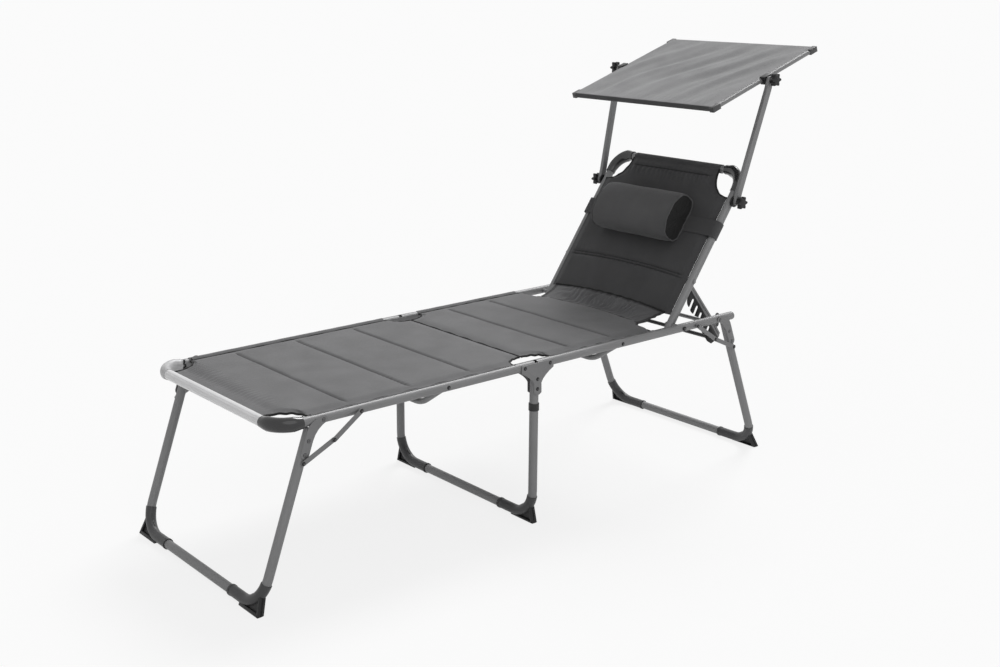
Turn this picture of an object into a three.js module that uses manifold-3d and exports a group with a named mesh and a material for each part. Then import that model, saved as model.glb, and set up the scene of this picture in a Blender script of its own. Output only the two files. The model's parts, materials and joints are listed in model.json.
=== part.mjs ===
// Folding sun lounger with canopy, in millimetres, +Z up.
// X runs along the lounger from the foot end to the head end, Y across it.
// Inside the group the foot end tube lies at x = 0; the group is then centred over its own footprint.

import * as THREE from "three";
import { mergeVertices } from "three/addons/utils/BufferGeometryUtils.js";
import Module from "manifold-3d";

const wasm = await Module();
wasm.setup();

// Driving dimensions

const degrees = Math.PI / 180;
const quarterTurn = Math.PI / 2;
const clearance = 0.3;
const overrun = 6;
const roundSides = 12;
const rodSides = 8;
const smallSides = 6;
const bendStep = 22.5 * degrees;
const curveSteps = 4;
const sides = [["right", 1], ["left", -1]];

const tube = { radius: 12.5, wall: 1.2 };
const sheet = { thickness: 2 };
const rivetDepth = 2 * tube.wall;

const frame = {
  railY: 320,
  railHeight: 462,
  footBend: 64,
  foldX: 803,
  endGap: 10,
  headEndX: 1603,
};

const pin = { radius: 3, headRadius: 5, headHeight: 1.2, shoulderRadius: 5 };
const bolt = { radius: 4, headRadius: 7, headHeight: 3 };

const leg = {
  tilt: 20.5 * degrees,
  midTilt: 1.2 * degrees,
  barHeight: 15,
  bend: 80,
  pivotInset: 26.2,
  topDrop: 28.5,
  midTopDrop: 29,
  frontPivotX: 121.3,
  rearPivotX: 1538.3,
};

const foot = {
  firstStation: 2,
  wall: 1.7,
  barEndInset: 142,
  lipWidth: 6,
  lipRadius: 15.2,
  rimHalfWidth: 9,
  webHalfWidth: 3,
  rimDepth: 8,
  finTopReach: 44,
  finTopInset: 1.5,
  finToeOutset: 13,
  finInnerInset: 84,
  soleDepth: 6,
};

const collar = { topDrop: 101.1, height: 20, wall: 2 };

const gusset = {
  halfWidth: 12,
  eyeRadius: 12,
  rivetDrops: [28.9, 64.8],
  lowDrop: 63.5,
  shoulderDrop: 33,
  neckDrop: 57,
};

const brace = {
  halfWidth: 6.5,
  thickness: 2,
  lowPinDrop: 85.3,
  railOffset: 105,
  kneeInset: 24.1,
  kneeDrop: 56.1,
  layerGap: 0.3,
  tabLength: 13,
};

const hinge = {
  pinOffset: 45,
  top: 9,
  halfLength: 57,
  lip: 13,
  stemHalfWidth: 13,
  neckDrop: 50,
  stemDrop: 78,
  rivetDrops: [38, 66],
};

const spreader = { radius: 8, dip: 72, lean: 33 * degrees, bend: 100, footX: 501, seatX: 1127.6 };

const backrest = {
  pivotX: 1381,
  angle: 54.2 * degrees,
  length: 530,
  railGap: 21,
  bend: 60,
  tail: 18,
  stayPinT: 150,
  clampDrop: 101,
};

const stay = {
  angle: 53.1 * degrees,
  tubeGap: 4.5,
  thickness: 4,
  eyeRadius: 8,
  length: 258,
  lastSlotInset: 59.8,
  slotPitch: 31,
  slotDepth: 18,
  slotMouthDepth: 72,
  slotCount: 5,
  heldSlotIndex: 3,
  slotLeanShare: 0.435,
  ribWidth: 6,
  ribHeight: 1.8,
  barInset: 18,
  barDrop: 24,
  rodRadius: 6,
};

const hanger = { halfWidth: 8, top: 6 };

const pad = {
  edgeInset: 8.8,
  edgeRise: 10.8,
  edgeHalf: 1,
  crown: 6.5,
  belly: 5.5,
  endTaper: 36,
  crownPower: 6,
  endPower: 3,
  footStartX: 8.8,
  gap: 3.5,
  seatEndX: 1358,
  seatTailInset: 88,
  cornerLength: 83,
  cornerDepth: 68,
  foldCutLength: 62,
  foldCutDepth: 46,
  hipCutX: 1264,
  hipCutLength: 30,
  seamWidth: 9,
  stationSpacing: 60,
  seamDepth: 5,
  footSeams: [217, 411, 607],
  seatSeams: [961, 1124, 1320],
};

const backPad = {
  offset: 11.2,
  startT: 27,
  endGap: 8,
  sideInset: 8,
  crown: 6,
  lowSeamT: 162,
  topSeamInset: 17,
  cutLength: 90,
  cutDepth: 79,
};

const pillow = {
  clampDrop: 110,
  halfLength: 163,
  halfHeight: 79,
  halfThickness: 45,
  seat: 21.5,
  ringPoints: 18,
};

const strap = { clampDrop: 132, width: 53, thickness: 1.5, tubeGap: 3, front: 20.8, back: 15.2, corner: 16 };

const canopy = {
  armInset: 24.2,
  depth: 475,
  pivotShare: 0.49,
  tilt: 18.35 * degrees,
  tubeRadius: 7,
  tubeWall: 1,
  capHalf: 8.4,
  capReach: 24,
  socketDepth: 20,
  clothHalf: 0.9,
  clothRise: 4,
  clothColumns: 4,
  clothRows: 24,
  clothEdgePower: 8,
  rippleHeight: 3.5,
  rippleCount: 5,
  rippleSlantShare: 0.35,
};

const arm = {
  length: 378,
  angle: 74.1 * degrees,
  width: 20,
  thickness: 12,
  outset: 23.5,
  flatLength: 30,
};

const clamp = { discRadius: 17, discThickness: 6.4 };
const pivotBlock = { length: 30, height: 24, innerInset: 2.8 };
const knob = { radius: 17.5, lobe: 2.5, lobes: 6, height: 22, boreDepth: 14, points: 24 };

// Places that follow from the sizes above. A reach runs up along a leg from the floor.
const pivotReach = (frame.railHeight + leg.pivotInset * Math.sin(leg.tilt)) / Math.cos(leg.tilt);
const endTopReach = pivotReach - leg.topDrop;
const bracketRivetReaches = gusset.rivetDrops.map((drop) => endTopReach - drop);
const braceLowPinReach = endTopReach - brace.lowPinDrop;
const midTopReach = (frame.railHeight - leg.midTopDrop) / Math.cos(leg.midTilt);
const seatEdgeHeight = frame.railHeight + pad.edgeRise;
const backPadEndT = backrest.length - backPad.endGap;
const backPadSeams = [backPad.lowSeamT, backPadEndT - backPad.topSeamInset];
const clampT = backrest.length - backrest.clampDrop;
const padEdgeY = frame.railY - pad.edgeInset;
const backrestHalf = frame.railY - 2 * tube.radius - backrest.railGap;
const backPadHalf = backrestHalf - backPad.sideInset;
const firstSlotAlong = stay.length - stay.lastSlotInset - stay.slotPitch * (stay.slotCount - 1);
const stayInnerY = backrestHalf - tube.radius - stay.tubeGap - stay.thickness;
const armLowY = backrestHalf + tube.radius + 2 * clearance + clamp.discThickness + arm.thickness / 2;
const armHighY = armLowY + arm.outset;
const canopyHalf = armHighY - canopy.armInset;

// Shares of the sizes above

// Rows across a pad, as shares of its half width.
const padRowShares = [-1, -0.95, -0.8, -0.5, 0, 0.5, 0.8, 0.95, 1];
// Stations inside a rounded cut, a tapered end and the hip cut, as shares of their lengths.
const cutShares = [0.3, 0.6, 0.8, 0.92, 1];
const endTaperShares = [0.3, 0.65];
const hipCutShares = [0, 0.08, 0.25, 0.55];
const capFlatShare = 0.6;
const capTurnShares = [1 / 3, 2 / 3];
const gussetEyeTurnShare = 0.7;
const knobHubShare = 0.25;
const knobHubRadiusShare = 0.62;
const pillowFlatShare = 0.86;

// The stay's upper edge and its free end, as shares of its length and of its eye radius or bar drop.
const stayTopShares = [[0, 1], [0.2, 1], [0.65, 1.4], [0.97, 1]];
const stayToeShares = [[0.97, 1.6], [0.9, 1.9]];
const stayEyeCornerShare = 0.75;

// Tooth tips along the notched edge, as shares of the stay's length and of the slot depth.
const stayToothShares = [
  [0.721, 2.55],
  [0.651, 1.22],
  [0.6, 1.05],
  [0.57, 1.35],
  [0.539, 1.65],
  [0.473, 2.15],
  [0.388, 2.4],
  [0.256, 2.25],
  [0.225, 2.0],
  [0.186, 1.4],
  [0.147, 0.75],
  [0.105, 0.45],
];

// Rings along the bolster: place and girth, as shares of its half length and of its full girth.
const pillowRingShares = [
  [-1, 0.82],
  [-0.975, 0.92],
  [-0.9, 0.97],
  [-0.6, 1],
  [0, 1],
  [0.6, 1],
  [0.9, 0.97],
  [0.975, 0.92],
  [1, 0.82],
];

// Materials

function material(colour, roughness, metalness) {
  return new THREE.MeshStandardMaterial({ color: colour, roughness, metalness });
}

const steel = material(0x9b9b9b, 0.38, 0.8);
const plate = material(0x8c8c8c, 0.42, 0.7);
const blackPlastic = material(0x141414, 0.55, 0);
const greyPlastic = material(0x3c3c3c, 0.5, 0);
const seatCloth = material(0x555555, 0.85, 0);
const backCloth = material(0x3a3a3a, 0.85, 0);
const canopyCloth = material(0x8f8f8f, 0.8, 0);

// Solids

function solidOf(geometry) {
  const bare = geometry.clone();
  bare.deleteAttribute("normal");
  bare.deleteAttribute("uv");
  const merged = mergeVertices(bare);
  return new wasm.Manifold(new wasm.Mesh({
    numProp: 3,
    vertProperties: new Float32Array(merged.attributes.position.array),
    triVerts: new Uint32Array(merged.index.array),
  }));
}

function geometryOf(solid) {
  const mesh = solid.getMesh();
  const geometry = new THREE.BufferGeometry();
  geometry.setAttribute("position", new THREE.BufferAttribute(mesh.vertProperties, mesh.numProp));
  geometry.setIndex(new THREE.BufferAttribute(mesh.triVerts, 1));
  const flat = geometry.toNonIndexed();
  flat.computeVertexNormals();
  return flat;
}

function build(added, removed = []) {
  let solid = solidOf(added[0]);
  for (const piece of added.slice(1)) {
    solid = solid.add(solidOf(piece));
  }
  for (const piece of removed) {
    solid = solid.subtract(solidOf(piece));
  }
  return geometryOf(solid);
}

function namedMesh(name, geometry, finish) {
  const mesh = new THREE.Mesh(geometry, finish);
  mesh.name = name;
  return mesh;
}

// Outlines and sweeps

// A regular polygon whose flats lie on the circle of this radius, with flats square to the axes.
function flatSidedRing(radius, sides) {
  const corner = radius / Math.cos(Math.PI / sides);
  const points = [];
  for (let i = 0; i < sides; i += 1) {
    const turn = ((i + 0.5) * 2 * Math.PI) / sides;
    points.push(new THREE.Vector2(corner * Math.cos(turn), corner * Math.sin(turn)));
  }
  return points;
}

function tubeSection(radius, wall, sides = roundSides) {
  const section = new THREE.Shape(flatSidedRing(radius, sides));
  if (wall > 0) {
    section.holes.push(new THREE.Path(flatSidedRing(radius - wall, sides)));
  }
  return section;
}

// A route through chosen stations, each with its own exact direction.
class StationCurve extends THREE.Curve {
  constructor(stations) {
    super();
    this.stations = stations;
  }

  stationAt(u) {
    return this.stations[Math.round(u * (this.stations.length - 1))];
  }

  getPoint(u, target = new THREE.Vector3()) {
    return target.copy(this.stationAt(u).point);
  }

  getPointAt(u, target) {
    return this.getPoint(u, target);
  }

  getTangentAt(u, target = new THREE.Vector3()) {
    return target.copy(this.stationAt(u).tangent);
  }
}

// Straight runs between corners, with each inner corner rounded to the bend radius.
function bentRoute(corners, bend) {
  const stations = [];
  const heading = (from, to) => to.clone().sub(from).normalize();
  const last = corners.length - 1;
  stations.push({ point: corners[0].clone(), tangent: heading(corners[0], corners[1]) });
  for (let i = 1; i < last; i += 1) {
    const into = heading(corners[i - 1], corners[i]);
    const out = heading(corners[i], corners[i + 1]);
    const turn = into.angleTo(out);
    const axis = into.clone().cross(out).normalize();
    const start = corners[i].clone().addScaledVector(into, -bend * Math.tan(turn / 2));
    const centre = start.clone().addScaledVector(axis.clone().cross(into), bend);
    const steps = Math.ceil(turn / bendStep);
    for (let k = 0; k <= steps; k += 1) {
      const angle = (turn * k) / steps;
      const point = start.clone().sub(centre).applyAxisAngle(axis, angle).add(centre);
      stations.push({ point, tangent: into.clone().applyAxisAngle(axis, angle) });
    }
  }
  stations.push({ point: corners[last].clone(), tangent: heading(corners[last - 1], corners[last]) });
  return stations;
}

function sweep(section, stations) {
  return new THREE.ExtrudeGeometry(section, {
    steps: stations.length - 1,
    bevelEnabled: false,
    extrudePath: new StationCurve(stations),
  });
}

function sweptTube(stations, radius, wall, sides = roundSides) {
  return sweep(tubeSection(radius, wall, sides), stations);
}

function straightRoute(from, to) {
  return bentRoute([from, to], 0);
}

function mirrorY(side, near, far) {
  return side > 0 ? [near, far] : [-far, -near];
}

// A plate in the XZ plane, between two distances from the middle of the lounger on one side.
function sidePlate(outline, side, near, far) {
  const [low, high] = mirrorY(side, near, far);
  const geometry = new THREE.ExtrudeGeometry(outline, {
    depth: high - low,
    bevelEnabled: false,
    curveSegments: curveSteps,
  });
  geometry.rotateX(quarterTurn);
  geometry.translate(0, high, 0);
  return geometry;
}

// A round pin along Y.
function sidePin(x, z, radius, side, near, far, sides = smallSides) {
  const [low, high] = mirrorY(side, near, far);
  const geometry = new THREE.CylinderGeometry(radius, radius, high - low, sides);
  geometry.translate(x, (low + high) / 2, z);
  return geometry;
}

// A hole for such a pin, wide enough for it at any turn.
function sideBore(x, z, radius, side, near, far) {
  return sidePin(x, z, (radius + clearance) / Math.cos(Math.PI / smallSides), side, near, far);
}

function block(lowX, highX, lowY, highY, lowZ, highZ) {
  const geometry = new THREE.BoxGeometry(highX - lowX, highY - lowY, highZ - lowZ);
  geometry.translate((lowX + highX) / 2, (lowY + highY) / 2, (lowZ + highZ) / 2);
  return geometry;
}

function polygon(points) {
  return new THREE.Shape(points.map(([x, y]) => new THREE.Vector2(x, y)));
}

function capsule(fromX, fromZ, toX, toZ, radius) {
  const along = Math.atan2(toZ - fromZ, toX - fromX);
  const shape = new THREE.Shape();
  shape.absarc(toX, toZ, radius, along - quarterTurn, along + quarterTurn, false);
  shape.absarc(fromX, fromZ, radius, along + quarterTurn, along + 3 * quarterTurn, false);
  shape.closePath();
  return shape;
}

// Soft solids

// A closed skin over a grid: point(i, j, top) gives each point of the upper and lower faces.
function gridSolid(columns, rows, point) {
  const positions = [];
  const indices = [];
  const width = rows + 1;
  const layer = (columns + 1) * width;
  for (const top of [true, false]) {
    for (let i = 0; i <= columns; i += 1) {
      for (let j = 0; j <= rows; j += 1) {
        positions.push(...point(i / columns, j / rows, top));
      }
    }
  }
  const quad = (a, b, c, d) => indices.push(a, b, c, a, c, d);
  for (let i = 0; i < columns; i += 1) {
    for (let j = 0; j < rows; j += 1) {
      const a = i * width + j;
      quad(a, a + width, a + width + 1, a + 1);
      quad(layer + a, layer + a + 1, layer + a + width + 1, layer + a + width);
    }
  }
  for (let i = 0; i < columns; i += 1) {
    const low = i * width;
    const high = low + rows;
    quad(low, layer + low, layer + low + width, low + width);
    quad(high, high + width, layer + high + width, layer + high);
  }
  for (let j = 0; j < rows; j += 1) {
    const far = columns * width + j;
    quad(j, j + 1, layer + j + 1, layer + j);
    quad(far, layer + far, layer + far + 1, far + 1);
  }
  const geometry = new THREE.BufferGeometry();
  geometry.setAttribute("position", new THREE.Float32BufferAttribute(positions, 3));
  geometry.setIndex(indices);
  geometry.computeVertexNormals();
  return geometry;
}

// The part of a rounded cut that is left at this distance from the cut's corner.
function ellipseBite(distance, length, depth) {
  const share = Math.abs(distance) / length;
  return share >= 1 ? 0 : depth * Math.sqrt(1 - share * share);
}

// How far a sewn channel pulls the cloth in at x: one at the seam, zero away from it.
function seamPull(x, seams, width) {
  let pull = 0;
  for (const seam of seams) {
    const share = (x - seam) / width;
    pull = Math.max(pull, Math.exp(-share * share));
  }
  return pull;
}

// Stations along a pad: an even run with extra ones beside each seam and inside the rounded cuts.
function padStations(start, end, spacing, marks) {
  const stops = new Set();
  const count = Math.round((end - start) / spacing);
  for (let i = 0; i <= count; i += 1) {
    stops.add(start + ((end - start) * i) / count);
  }
  const even = [...stops];
  const isEnd = (x) => x === start || x === end;
  const isClear = (x) => marks.every((mark) => Math.abs(x - mark) > spacing / 4);
  const clear = even.filter((x) => isEnd(x) || isClear(x));
  return [...clear, ...marks].sort((a, b) => a - b);
}

function seamMarks(seams, width) {
  return seams.flatMap((seam) => [seam - width, seam, seam + width]);
}

// A padded panel: halfWidthAt gives its outline, thicknessAt its upper and lower faces at each point.
function paddedPanel(stations, rowShares, halfWidthAt, faceAt) {
  const columns = stations.length - 1;
  const rows = rowShares.length - 1;
  return gridSolid(columns, rows, (u, v, top) => {
    const x = stations[Math.round(u * columns)];
    const share = rowShares[Math.round(v * rows)];
    return [x, share * halfWidthAt(x), faceAt(x, share, top)];
  });
}

function crownShare(share) {
  return 1 - Math.pow(Math.abs(share), pad.crownPower);
}

// A panel thins to its bound edge at both ends.
function endShare(x, start, end) {
  const inward = Math.min(x - start, end - x) / pad.endTaper;
  return inward >= 1 ? 1 : 1 - Math.pow(1 - inward, pad.endPower);
}

// Middle leg, front leg and rear leg. In a leg's own frame X points at the middle of the lounger
// for an end leg, Z runs up along the leg, and the floor passes through the origin.

function legRoute(topReach, barReach) {
  return bentRoute([
    new THREE.Vector3(0, frame.railY, topReach),
    new THREE.Vector3(0, frame.railY, barReach),
    new THREE.Vector3(0, -frame.railY, barReach),
    new THREE.Vector3(0, -frame.railY, topReach),
  ], leg.bend);
}

function legTube(route, holeReaches, throughHoles) {
  const holes = [];
  for (const [, side] of sides) {
    const innerEnd = throughHoles ? frame.railY - tube.radius - overrun : frame.railY;
    for (const reach of holeReaches) {
      holes.push(sideBore(0, reach, pin.radius, side, innerEnd, frame.railY + tube.radius + overrun));
    }
  }
  return build([sweptTube(route, tube.radius, tube.wall)], holes);
}

function footShell(route, side, barReach, tilt) {
  const radius = tube.radius + clearance + foot.wall;
  const barEndY = frame.railY - foot.barEndInset;
  const finTopY = frame.railY - foot.finTopInset;
  const finToeY = frame.railY + foot.finToeOutset;
  const finInnerY = frame.railY - foot.finInnerInset;
  const half = route.length / 2;
  const ordered = side > 0 ? route : [...route].reverse().map(
    ({ point, tangent }) => ({ point, tangent: tangent.clone().negate() }),
  );
  const along = new THREE.Vector3(0, -side, 0);
  const barPoint = (y) => new THREE.Vector3(0, side * y, barReach);
  const bendStations = ordered.slice(foot.firstStation, half);
  const sleeve = [...bendStations, { point: barPoint(barEndY), tangent: along }];
  const lip = straightRoute(barPoint(barEndY + foot.lipWidth), barPoint(barEndY));
  const fin = polygon([
    [finTopY - radius, foot.finTopReach + radius],
    [finTopY, foot.finTopReach],
    [finToeY, -overrun],
    [finInnerY, -overrun],
    [finInnerY, barReach],
  ]);
  const rim = polygon([
    [finTopY, foot.finTopReach],
    [finToeY, -overrun],
    [finToeY - foot.rimDepth, -overrun],
    [finTopY - foot.rimDepth, foot.finTopReach],
  ]);
  const standUp = (shape, halfWidth) => {
    const geometry = new THREE.ExtrudeGeometry(shape, { depth: 2 * halfWidth, bevelEnabled: false });
    geometry.translate(0, 0, -halfWidth);
    geometry.rotateX(quarterTurn);
    geometry.rotateZ(quarterTurn);
    if (side < 0) {
      geometry.rotateZ(Math.PI);
    }
    return geometry;
  };
  const [soleLow, soleHigh] = mirrorY(side, barEndY, finToeY - foot.rimDepth / 2);
  const sole = block(-foot.rimHalfWidth, foot.rimHalfWidth, soleLow, soleHigh, -overrun, foot.soleDepth);
  const floor = block(-leg.bend, leg.bend, -frame.railY * 2, frame.railY * 2, -leg.bend, 0);
  floor.rotateY(-tilt);
  return build(
    [
      sweep(tubeSection(radius, 0), sleeve),
      sweep(tubeSection(foot.lipRadius, 0), lip),
      standUp(fin, foot.webHalfWidth),
      standUp(rim, foot.rimHalfWidth),
      sole,
    ],
    [sweep(tubeSection(tube.radius + clearance, 0), route), floor],
  );
}

function addLegAndFeet(group, name, topReach, tilt, holeReaches, throughHoles) {
  const barReach = leg.barHeight / Math.cos(tilt);
  const route = legRoute(topReach, barReach);
  group.add(namedMesh(`${name}_tube`, legTube(route, holeReaches, throughHoles), steel));
  for (const [label, side] of sides) {
    group.add(namedMesh(`${name}_foot_${label}`, footShell(route, side, barReach, tilt), greyPlastic));
  }
}

const outerFace = frame.railY + tube.radius;
const innerFace = frame.railY - tube.radius;
const plateNear = outerFace + clearance;
const plateFar = plateNear + sheet.thickness;
const lowLinkNear = plateFar + pin.headHeight + clearance;
const lowLinkFar = lowLinkNear + brace.thickness;
const highLinkNear = lowLinkFar + brace.layerGap;
const highLinkFar = highLinkNear + brace.thickness;

// A headed pin from inside the tube wall out through a plate.
function rivet(x, z, side, plateOuter, innerEnd = frame.railY + tube.radius - rivetDepth) {
  return [
    sidePin(x, z, pin.radius, side, innerEnd, plateOuter),
    sidePin(x, z, pin.headRadius, side, plateOuter, plateOuter + pin.headHeight),
  ];
}

function gussetOutline() {
  const { halfWidth, eyeRadius, lowDrop, shoulderDrop, neckDrop } = gusset;
  const lowReach = endTopReach - lowDrop;
  const eyeX = leg.pivotInset;
  const eyeZ = pivotReach;
  const shape = new THREE.Shape();
  shape.moveTo(-halfWidth, lowReach);
  shape.absarc(0, lowReach, halfWidth, Math.PI, 2 * Math.PI, false);
  shape.lineTo(halfWidth, eyeZ - neckDrop);
  shape.quadraticCurveTo(halfWidth, eyeZ - halfWidth * 2, eyeX + eyeRadius, eyeZ);
  shape.absarc(eyeX, eyeZ, eyeRadius, 0, gussetEyeTurnShare * Math.PI, false);
  shape.quadraticCurveTo(-halfWidth, eyeZ - eyeRadius, -halfWidth, eyeZ - shoulderDrop);
  shape.closePath();
  return shape;
}

function gussetPlate(side) {
  const solids = [sidePlate(gussetOutline(), side, plateNear, plateFar)];
  solids.push(...rivet(leg.pivotInset, pivotReach, side, plateFar, innerFace - clearance * 2));
  for (const reach of bracketRivetReaches) {
    solids.push(...rivet(0, reach, side, plateFar));
  }
  return build(solids);
}

// The knee of the brace and its two outer pins, as places in the side view of the front leg.
function frontBracePlaces() {
  const pivot = new THREE.Vector2(leg.frontPivotX, frame.railHeight);
  const railPin = new THREE.Vector2(pivot.x + brace.railOffset, pivot.y);
  const knee = new THREE.Vector2(pivot.x + brace.kneeInset, pivot.y - brace.kneeDrop);
  const fromPivotX = -leg.pivotInset;
  const fromPivotZ = braceLowPinReach - pivotReach;
  const legPin = new THREE.Vector2(
    pivot.x + fromPivotX * Math.cos(leg.tilt) + fromPivotZ * Math.sin(leg.tilt),
    pivot.y - fromPivotX * Math.sin(leg.tilt) + fromPivotZ * Math.cos(leg.tilt),
  );
  return { railPin, knee, legPin };
}

function upperLink(side, facing, pivotX) {
  const { railPin, knee } = frontBracePlaces();
  const place = (point) => [pivotX + facing * (point.x - leg.frontPivotX), point.y];
  const [railPinX, railPinZ] = place(railPin);
  const [kneeX, kneeZ] = place(knee);
  const run = new THREE.Vector2(kneeX - railPinX, kneeZ - railPinZ).normalize();
  const tabX = kneeX - run.x * brace.tabLength;
  const tabZ = kneeZ - run.y * brace.tabLength;
  return build([
    sidePlate(capsule(railPinX, railPinZ, kneeX, kneeZ, brace.halfWidth), side, highLinkNear, highLinkFar),
    sidePin(railPinX, railPinZ, pin.radius, side, outerFace - rivetDepth, highLinkNear),
    sidePin(railPinX, railPinZ, pin.shoulderRadius, side, plateNear, highLinkNear),
    sidePin(railPinX, railPinZ, pin.headRadius, side, highLinkFar, highLinkFar + pin.headHeight),
    sidePin(kneeX, kneeZ, pin.headRadius, side, highLinkFar, highLinkFar + pin.headHeight),
    sidePin(tabX, tabZ, pin.radius, side, highLinkFar, highLinkFar + pin.headHeight / 2),
  ]);
}

function lowerLink(side, facing, pivotX) {
  const { knee, legPin } = frontBracePlaces();
  const place = (point) => [pivotX + facing * (point.x - leg.frontPivotX), point.y];
  const [legPinX, legPinZ] = place(legPin);
  const [kneeX, kneeZ] = place(knee);
  return build([
    sidePlate(capsule(legPinX, legPinZ, kneeX, kneeZ, brace.halfWidth), side, lowLinkNear, lowLinkFar),
    sidePin(legPinX, legPinZ, pin.radius, side, outerFace - rivetDepth, lowLinkNear),
    sidePin(legPinX, legPinZ, pin.shoulderRadius, side, plateNear, lowLinkNear),
    sidePin(legPinX, legPinZ, pin.headRadius, side, lowLinkFar, lowLinkFar + pin.headHeight),
  ]);
}

// An end leg with its brackets and braces; facing is 1 for the front leg and -1 for the rear leg.
function endLeg(name, facing, pivotX) {
  const group = new THREE.Group();
  const turned = new THREE.Group();
  const tilted = new THREE.Group();
  const reachX = pivotReach * Math.sin(leg.tilt) + leg.pivotInset * Math.cos(leg.tilt);
  turned.position.x = pivotX - facing * reachX;
  turned.rotation.z = facing > 0 ? 0 : Math.PI;
  tilted.rotation.y = leg.tilt;
  addLegAndFeet(tilted, name, endTopReach, leg.tilt, [...bracketRivetReaches, braceLowPinReach], false);
  for (const [label, side] of sides) {
    tilted.add(namedMesh(`${name}_bracket_${label}`, gussetPlate(side), plate));
    group.add(namedMesh(`${name}_brace_upper_${label}`, upperLink(side, facing, pivotX), plate));
    group.add(namedMesh(`${name}_brace_lower_${label}`, lowerLink(side, facing, pivotX), plate));
  }
  turned.add(tilted);
  group.add(turned);
  return group;
}

function midLeg() {
  const group = new THREE.Group();
  const holeReaches = hinge.rivetDrops.map((drop) => (frame.railHeight - drop) / Math.cos(leg.midTilt));
  const collarReach = midTopReach - collar.topDrop;
  group.position.x = frame.foldX - frame.railHeight * Math.tan(leg.midTilt);
  group.rotation.y = leg.midTilt;
  addLegAndFeet(group, "mid_leg", midTopReach, leg.midTilt, holeReaches, true);
  for (const [label, side] of sides) {
    const route = straightRoute(
      new THREE.Vector3(0, side * frame.railY, collarReach),
      new THREE.Vector3(0, side * frame.railY, collarReach + collar.height),
    );
    const ring = sweptTube(route, tube.radius + clearance + collar.wall, collar.wall);
    group.add(namedMesh(`mid_leg_collar_${label}`, ring, blackPlastic));
  }
  return group;
}

// T shaped hinge bracket between the two sections and the middle leg.

function hingeOutline() {
  const { top, halfLength, lip, stemHalfWidth, neckDrop, stemDrop } = hinge;
  const shape = new THREE.Shape();
  shape.moveTo(-halfLength, top);
  shape.lineTo(-halfLength, -lip);
  shape.quadraticCurveTo(-stemHalfWidth - top, -lip - top * 2, -stemHalfWidth, -neckDrop);
  shape.lineTo(-stemHalfWidth, -stemDrop);
  shape.quadraticCurveTo(0, -stemDrop - stemHalfWidth, stemHalfWidth, -stemDrop);
  shape.lineTo(stemHalfWidth, -neckDrop);
  shape.quadraticCurveTo(stemHalfWidth + top, -lip - top * 2, halfLength, -lip);
  shape.lineTo(halfLength, top);
  shape.closePath();
  return shape;
}

function foldBracket(side) {
  const outline = hingeOutline();
  const innerFar = innerFace - clearance;
  const innerNear = innerFar - sheet.thickness;
  const solids = [
    sidePlate(outline, side, plateNear, plateFar),
    sidePlate(outline, side, innerNear, innerFar),
  ];
  const places = [[-hinge.pinOffset, 0], [hinge.pinOffset, 0]];
  for (const drop of hinge.rivetDrops) {
    places.push([-drop * Math.tan(leg.midTilt), -drop]);
  }
  for (const [x, z] of places) {
    solids.push(sidePin(x, z, pin.radius, side, innerNear, plateFar));
    solids.push(sidePin(x, z, pin.headRadius, side, plateFar, plateFar + pin.headHeight));
  }
  return build(solids);
}

function foldBrackets() {
  const group = new THREE.Group();
  group.position.set(frame.foldX, 0, frame.railHeight);
  for (const [label, side] of sides) {
    group.add(namedMesh(`fold_bracket_${label}`, foldBracket(side), plate));
  }
  return group;
}

// Rails

function railHole(x, side, radius) {
  return sideBore(x, 0, radius, side, innerFace - overrun, outerFace + overrun);
}

function outerHole(x, side, radius) {
  return sideBore(x, 0, radius, side, frame.railY, outerFace + overrun);
}

function bowedBar(x) {
  const { radius, dip, lean, bend } = spreader;
  const kneeY = frame.railY - dip / Math.tan(lean);
  const route = bentRoute([
    new THREE.Vector3(x, frame.railY, 0),
    new THREE.Vector3(x, kneeY, -dip),
    new THREE.Vector3(x, -kneeY, -dip),
    new THREE.Vector3(x, -frame.railY, 0),
  ], bend);
  const bar = sweptTube(route, radius, 0, rodSides);
  const saddles = sides.map(([, side]) => {
    const y = side * frame.railY;
    return sweep(tubeSection(tube.radius + clearance, 0), straightRoute(
      new THREE.Vector3(x - tube.radius * 2, y, 0),
      new THREE.Vector3(x + tube.radius * 2, y, 0),
    ));
  });
  return build([bar], saddles);
}

function footSection() {
  const group = new THREE.Group();
  group.position.z = frame.railHeight;
  const endX = frame.foldX - frame.endGap / 2;
  const route = bentRoute([
    new THREE.Vector3(endX, frame.railY, 0),
    new THREE.Vector3(0, frame.railY, 0),
    new THREE.Vector3(0, -frame.railY, 0),
    new THREE.Vector3(endX, -frame.railY, 0),
  ], frame.footBend);
  const holes = sides.flatMap(([, side]) => [
    railHole(frame.foldX - hinge.pinOffset, side, pin.radius),
    railHole(leg.frontPivotX, side, pin.radius),
    outerHole(leg.frontPivotX + brace.railOffset, side, pin.radius),
  ]);
  group.add(namedMesh("foot_frame_tube", build([sweptTube(route, tube.radius, tube.wall)], holes), steel));
  group.add(namedMesh("foot_spreader", bowedBar(spreader.footX), steel));
  return group;
}

function stayRodPlace() {
  const along = firstSlotAlong + stay.slotPitch * stay.heldSlotIndex;
  const drop = -stay.slotDepth;
  const pinX = backrest.pivotX + backrest.stayPinT * Math.cos(backrest.angle);
  const pinZ = frame.railHeight + backrest.stayPinT * Math.sin(backrest.angle);
  return {
    x: pinX + along * Math.cos(stay.angle) + drop * Math.sin(stay.angle),
    z: pinZ - along * Math.sin(stay.angle) + drop * Math.cos(stay.angle),
  };
}

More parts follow.
